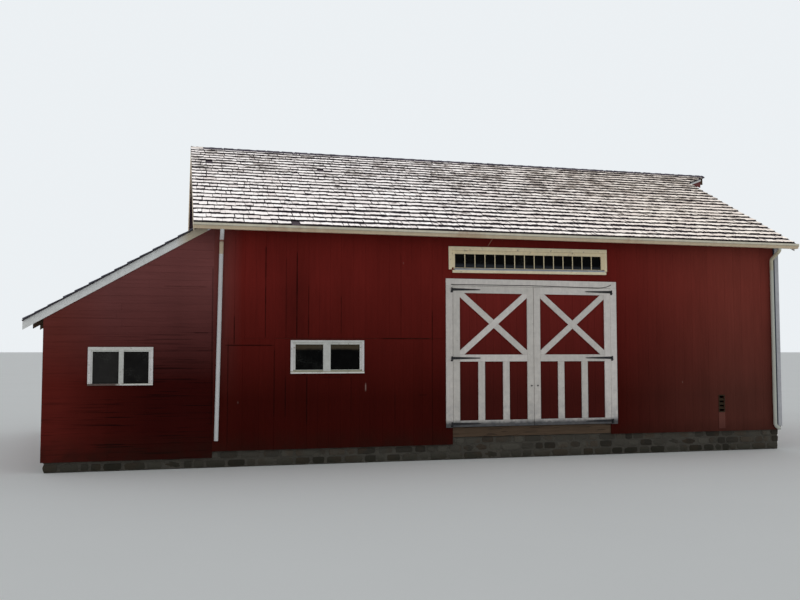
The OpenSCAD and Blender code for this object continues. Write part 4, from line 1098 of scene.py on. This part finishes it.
def strap_bolts(name, side):
    """Round bolt heads on a leaf's hinge straps, and the ring of its latch."""
    heads = []
    for low, high in parts_of(f"{name}_door_hinges"):
        hinge_x = low.x if side < 0 else high.x
        heads += [bolt_head((hinge_x - side * reach, high.y - 0.008, (low.z + high.z) / 2), 0.010, 0.006)
                  for reach in BOLT_PLACES]
    low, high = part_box(f"{name}_door_frame")
    latch_x = high.x - LATCH_IN[name] if side < 0 else low.x + LATCH_IN[name]
    heads.append(bolt_head((latch_x, low.y, LATCH_Z), 0.016, 0.012))
    made = piece(f"{name}_door_bolts", heads, iron, "black_iron", body=f"{name}_door")
    set_tone(made, 0.5)
    bpy.ops.object.shade_smooth_by_angle(angle=math.radians(40))


def doors():
    rng = random.Random(31)
    for name, side in (("left", -1), ("right", 1)):
        leaf_frame(name, side, rng)
        leaf_boards(name, rng)
        dressed_copy(f"{name}_door_hinges", f"{name}_door_strap_hinges", iron, "black_iron", 0.0012,
                     f"{name}_door", 30)
        strap_bolts(name, side)
    brackets = dressed_copy("hinge_pintles", "hinge_pintle_brackets", iron, "black_iron", 0.0012, smooth=30)
    with editing(brackets, "VERT"):
        for low, high in parts_of("hinge_pintles"):
            move(brackets, lambda v: low.z - 0.001 < v.co.z < low.z + 0.004,
                 (0, 0, 0.38 * (high.z - low.z) / 2))


# Trim, windows and gutter

# The strip under the doorway's head: its path in X and Z, and half its height
STRIP_PATH = ((-1.869, 3.674), (-0.077, 3.680), (1.586, 3.658), (1.733, 3.676), (1.856, 3.732))
STRIP_HALF = 0.007
# The patch's bottom, and the ends of the strap up to the gutter in X and Z
PATCH_BOTTOM = 0.51
STRAP_FOOT = (-1.030, 4.518)
STRAP_TOP = (-1.021, 4.640)


def door_surround():
    """Casing boards round the doorway: two jambs and a head that laps over them."""
    low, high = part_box("door_casing")
    leaf_low, leaf_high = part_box("left_door_frame")
    door_half, head_z = LEAF_GAP - leaf_low.x, leaf_high.z + LEAF_GAP
    boards = [(low.x, low.y, low.z, -door_half, high.y, head_z - 0.001, 0.35),
              (door_half, low.y, low.z, high.x, high.y, head_z - 0.001, 0.75),
              (low.x, low.y + 0.001, head_z, high.x, high.y, high.z, 0.55)]
    piece("door_casing_boards", [toned_block(*board, 0) for board in boards], white_upright, "white_paint",
          "door_casing", ease=0.003)


def window_boards(outer, area, sash_w, foot, tones, head_out=0.0, low_top=0.0):
    """Boards round a window's panes: casing on the wall, sash standing back inside it, each from the
    top one to the left and the right one, and a liner in the wall's hole."""
    low, high = outer
    (x0, z0), (x1, z1) = area
    left, right, top, back, foot = x0 - sash_w, x1 + sash_w, z1 + sash_w, FRONT + SASH_BACK, low.z + foot
    boards = [(low.x, FRONT - head_out, top, high.x, FACE, high.z), (low.x, FRONT, foot, left, FACE, top),
              (right, FRONT, foot, high.x, FACE, top), (left, back, z1, right, FACE, top - low_top),
              (left, back, z0, x0, FACE, z1), (x1, back, z0, right, FACE, z1),
              (x0 - LINER, FACE, z0 - LINER, x0, INNER, z1 + LINER),
              (x1, FACE, z0 - LINER, x1 + LINER, INNER, z1 + LINER),
              (x0, FACE, z1, x1, INNER, z1 + LINER), (x0, FACE, z0 - LINER, x1, INNER, z0)]
    return [toned_block(*board, tone) for board, tone in zip(boards, (*tones, 0.3, 0.3, 0.3, 0.3))]


def sash_window(outer, inset):
    """Boards of a window with an upright between its panes, its sill, and its two panes."""
    low, high = outer
    area = (x0, z0), (x1, z1) = pane_area(outer, inset)
    left, right = (low.x + edge for edge in inset["upright"])
    boards = window_boards(outer, area, inset["sash"], SILL_NOSE_H, (0.55, 0.85, 0.9, 0.35, 0.6, 0.7))
    boards += [toned_block(left, FRONT - 0.002, low.z + SILL_NOSE_H, right, FACE, high.z - 0.003, 0.45),
               toned_block(left, FACE, z0 - LINER, right, INNER, z1, 0.3)]
    sill = sloping_sill((low.x, high.x), low.z, SILL_NOSE_H, z0)
    panes = [toned_block(a, GLASS_Y, z0, b, GLASS_Y + PANE_T, z1, 0.5) for a, b in ((x0, left), (right, x1))]
    return boards, sill, panes


def sloping_sill(ends, bottom, nose_h, top):
    """Sill that slopes down from the glass to a nose in front of the casing."""
    made = block((ends[0], FRONT - NOSE_OUT, bottom), (ends[1], GLASS_Y, top))
    with editing(made):
        move(made, lambda e: middle(e).y < FRONT and middle(e).z > top - 0.001, (0, 0, bottom + nose_h - top),
             "EDGE")
    mark(made, "tone", [0.05 if face.normal.z > 0.3 else 0.95 for face in made.data.polygons])
    return made


def break_edge(sill, steps=28):
    """Nibbles the nose of the lean-to window's sill away over its left half."""
    rng = random.Random(51)
    low, high = span(v.co for v in sill.data.vertices)
    with editing(sill):
        divide(sill, steps)
        for step in range(steps // 2 + 1):
            x = low.x + step * (high.x - low.x) / steps
            move(sill, lambda v: abs(v.co.x - x) < 0.002 and v.co.y < FRONT,
                 (0, rng.uniform(0.004, 0.020), 0))


def windows():
    """The two windows, and the long row of lights over the doors, a little out of level."""
    lean_outer, main_outer = parts_of("window_frames")
    boards, main_sill, panes = sash_window(main_outer, MAIN_WINDOW)
    lean_boards, lean_sill, lean_panes = sash_window(lean_outer, LEAN_WINDOW)
    piece("window_casings_and_sashes", boards + lean_boards, white_window, "white_paint", "window_frames",
          ease=0.0022)
    break_edge(lean_sill)
    piece("window_sills", [main_sill, lean_sill], white_sill, "white_paint", ease=0.0015)

    low, high = parts_of("transom_frame")[0]
    (x0, z0), (x1, z1) = TRANSOM_PANES
    boards = window_boards((low, high), TRANSOM_PANES, TRANSOM_SASH, TRANSOM_FOOT,
                           (0.75, 0.85, 0.6, 0.4, 0.6, 0.35), 0.003, 0.003)
    boards.append(toned_block(low.x + 0.08, FRONT - NOSE_OUT, low.z, high.x - 0.03, FACE, low.z + 0.058,
                              0.95))
    casing = piece("transom_casing_and_sash", boards, cream_transom, "white_paint", "transom_frame",
                   ease=0.0022)
    places = [x0 + k * (x1 - x0) / LIGHTS for k in range(1, LIGHTS)]
    bars = [toned_block(x - 0.009, GLASS_Y - 0.012, z0, x + 0.009, GLASS_Y - 0.0005, z1, 0.4) for x in places]
    bars = piece("transom_bars", bars, cream_transom, "white_paint", ease=0.003)
    sill = sloping_sill((low.x + 0.13, high.x - 0.06), low.z + 0.0585, 0.012, z0)
    piece("transom_sill", [sill], grey_sill, "white_paint", ease=0.0015)
    pane = toned_block(x0, GLASS_Y, z0, x1, GLASS_Y + PANE_T, z1, 0.5)
    pivot = Vector((low.x + 0.9, 0, (low.z + high.z) / 2))
    tilt = Matrix.Translation(pivot) @ Matrix.Rotation(TRANSOM_TILT, 4, "Y") @ Matrix.Translation(-pivot)
    for obj in (casing, bars, sill, pane):
        obj.data.transform(tilt)
    piece("window_panes", [*panes, *lean_panes, pane], glass, "dark_glass", "window_glass")


def sagging_strip(steps=36):
    """Thin strip under the doorway's head, sagging in the middle and curling up at its right end."""
    start, end = STRIP_PATH[0][0], STRIP_PATH[-1][0]
    strip = block((start, FRONT - 0.003, -STRIP_HALF), (end, FRONT - 0.0002, STRIP_HALF))
    with editing(strip):
        divide(strip, steps)
        for step in range(steps + 1):
            x = start + step * (end - start) / steps
            left, right = [(a, b) for a, b in zip(STRIP_PATH, STRIP_PATH[1:]) if a[0] <= x + 0.0001][-1]
            z = left[1] + (x - left[0]) / (right[0] - left[0]) * (right[1] - left[1])
            move(strip, lambda v: abs(v.co.x - x) < 0.001, (0, 0, z))
    set_tone(strip, 0.1)
    piece("sagging_head_strip", [strip], dark_strip, "old_timber")


def small_boards():
    """Patch board under the vent, and a bent strap from the wall up to the gutter."""
    low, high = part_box("wall_vent")
    patch = block((low.x - 0.005, FACE - 0.009, PATCH_BOTTOM), (high.x, FACE - 0.0002, low.z - 0.004))
    piece("patch_under_the_vent", [patch], red_patch, "red_boards", ease=0.002)
    set_tone(patch, 1.0)
    strap = block((-0.007, -0.002, 0), (0.007, 0.002, 1))
    foot = Vector((STRAP_FOOT[0], FACE - 0.004, STRAP_FOOT[1]))
    way = Vector((STRAP_TOP[0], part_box("front_gutter")[1].y - 0.010, STRAP_TOP[1])) - foot
    strap.data.transform(Matrix.Translation(foot) @ way.to_track_quat("Z", "Y").to_matrix().to_4x4()
                         @ Matrix.Diagonal((1, 1, way.length, 1)))
    set_tone(strap, 0.5)
    piece("strap_up_to_the_gutter", [strap], rusty_strap, "cream_metal")


def trim():
    door_surround()
    windows()
    sagging_strip()
    small_boards()
    for node, name, material, slot, ease in (
            ("corner_board", "right_corner_board", white_corner, "white_paint", 0.003),
            ("rake_boards", "rake_and_hood_strips", white_level, "white_paint", 0.003),
            ("front_fascia", "front_fascia_board", white_level, "white_paint", 0.002),
            ("wall_vent", "wall_vent_louvre", vent_timber, "red_boards", 0.0015),
            ("hay_hood_sides", "hay_hood_side_boards", red_level_x, "red_boards", 0.002)):
        dressed_copy(node, name, material, slot, ease)
    for node, material in (("left_downspout", spout_paint), ("right_downspout", grey_spout_paint)):
        dressed_copy(node, f"{node}_pipe", material, "cream_metal", 0, smooth=40)


# Foundations and floor

# How far the stones' faces stand back, how deep the stones are, and how far the mortar stands back
STONE_IN = 0.008
STONE_DEPTH = 0.12
MORTAR_IN = 0.03


def stone_patterns():
    stones = [pattern() for k in range(6)]
    for k, made in enumerate(stones):
        with editing(made, "VERT"):
            bpy.ops.mesh.select_all(action="SELECT")
            bpy.ops.mesh.subdivide(number_cuts=2, smoothness=0.35)
            bpy.ops.transform.vertex_random(offset=0.07, seed=k + 1)
        made.data.transform(placed(*span(v.co for v in made.data.vertices)).inverted())
    return stones


def rubble_face(models, along, node, way, rng, rows=3):
    """Rough courses of field stones over one face of a foundation wall: the low one for way 1, the
    high one for way -1."""
    low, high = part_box(node)
    axis = 0 if along == "X" else 1
    face = (low if way > 0 else high)[1 - axis] + way * STONE_IN
    height = (high.z - low.z) / rows
    z = low.z
    stones = []
    for row in range(rows):
        a, end = low[axis], high[axis]
        while a < end - 0.05:
            width = min(rng.uniform(0.18, 0.46), end - a)
            if end - a - width < 0.12:
                width = end - a
            across = (face + way * rng.uniform(0.0, 0.014), face + way * STONE_DEPTH)
            gap = rng.uniform(0.006, 0.014)
            fit = laid(along, (a + gap, a + width - gap), across, (z + gap, z + height - 0.002))
            stones.append(copy_of(rng.choice(models), fit, rng.uniform(0, 1)))
            a += width
        z += height
    return stones


def foundations():
    rng = random.Random(41)
    models = stone_patterns()
    for node, way in (("front_foundation", 1), ("back_foundation", -1)):
        piece(f"{node}_stones", rubble_face(models, "X", node, way, rng), stone, "stone")
    sides = [made for way in (1, -1) for made in rubble_face(models, "Y", "cross_foundations", way, rng)]
    piece("side_foundation_stones", sides, stone, "stone")

    outer = ("front_foundation", "back_foundation", "cross_foundations")
    barn_low, barn_high = span([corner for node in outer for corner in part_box(node)])
    for node in (*outer, "floor_dwarf_walls"):
        cores = []
        for low, high in parts_of(node):
            for axis in (0, 1):
                if low[axis] < barn_low[axis] + 0.01:
                    low[axis] += MORTAR_IN
                if high[axis] > barn_high[axis] - 0.01:
                    high[axis] -= MORTAR_IN
            cores.append(block(low, high))
        piece(f"{node}_core", cores, mortar, "stone", node, ease=0.012)


def floor_planks():
    rng = random.Random(42)
    low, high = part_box("barn_floor")
    rows = round((high.y - low.y) / 0.26)
    planks = []
    for row in range(rows):
        y0, y1 = (low.y + k * (high.y - low.y) / rows for k in (row, row + 1))
        joints = board_joints((low.x, high.x), 0.25, rng)
        for a, b in zip(joints, joints[1:]):
            fit = laid("X", (a + 0.0015, b - 0.0015), (y0 + 0.002, y1 - 0.002),
                       (low.z, high.z - rng.uniform(0, 0.003)))
            planks.append(copy_of(plain_board, fit, rng.uniform(0, 1)))
    piece("barn_floor_planks", planks, timber_x, "old_timber", "barn_floor", ease=0.003)


def frame_timbers():
    """Finishes of the CAD nodes that stay as they are."""
    for material, nodes in ((timber_x, ("long_sills", "wall_plates", "wall_girts", "ridge_board")),
                            (timber_y, ("tie_beams", "gable_sills", "rafters", "floor_joists")),
                            (timber_z, ("posts", "knee_braces")), (gutter_paint, ("front_gutter",))):
        for node in nodes:
            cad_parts[node].data.materials.clear()
            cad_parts[node].data.materials.append(material)


# Camera, light and floor

def studio():
    scene = bpy.context.scene
    scene.view_settings.view_transform = "Standard"
    deselect()
    bpy.ops.object.camera_add(location=CAMERA_PLACE,
                              rotation=(math.radians(CAMERA_TILT), 0, math.radians(CAMERA_TURN)))
    camera = bpy.context.object
    camera.data.sensor_width = 36
    camera.data.lens = 36 * FOCAL_PIXELS / PICTURE_WIDTH
    scene.camera = camera

    bpy.ops.mesh.primitive_circle_add(vertices=96, radius=800, fill_type="NGON", location=(0, 0, -0.002))
    floor = bpy.context.object
    floor.name = "studio_floor"
    pale = Recipe("pale_floor", 0.9)
    pale.colour = (246, 246, 244)
    pale.shade(pale.noise(0.2), 0.97, 1.03)
    floor.data.materials.append(pale.finish())

    world = bpy.data.worlds.new("soft_sky")
    scene.world = world
    world.use_nodes = True
    tree = world.node_tree
    glow = tree.nodes["Background"]
    glow.inputs["Color"].default_value = (0.93, 0.97, 1.0, 1)
    path = tree.nodes.new("ShaderNodeLightPath")
    strength = tree.nodes.new("ShaderNodeMapRange")
    strength.inputs["To Min"].default_value = 0.535
    strength.inputs["To Max"].default_value = 0.90
    tree.links.new(path.outputs["Is Camera Ray"], strength.inputs["Value"])
    tree.links.new(strength.outputs["Result"], glow.inputs["Strength"])

    bpy.ops.object.light_add(type="SUN", location=(0, 0, 20))
    key = bpy.context.object
    key.name = "high_key_from_behind"
    key.data.energy = 3.0
    key.data.angle = math.radians(3)
    key.data.color = (1.0, 0.97, 0.92)
    key.rotation_euler = Vector((-0.42, 0.24, 0.87)).to_track_quat("Z", "Y").to_euler()
    left_out = bpy.data.collections.new("lit_without_the_key")
    left_out.objects.link(floor)
    key.light_linking.receiver_collection = left_out
    left_out.collection_objects[0].light_linking.link_state = "EXCLUDE"


front_walls()
back_and_gable_walls()
lean_to_walls()
roofs()
ridge_pieces()
doors()
trim()
foundations()
floor_planks()
frame_timbers()
studio()
for made in patterns:
    bpy.data.objects.remove(made)
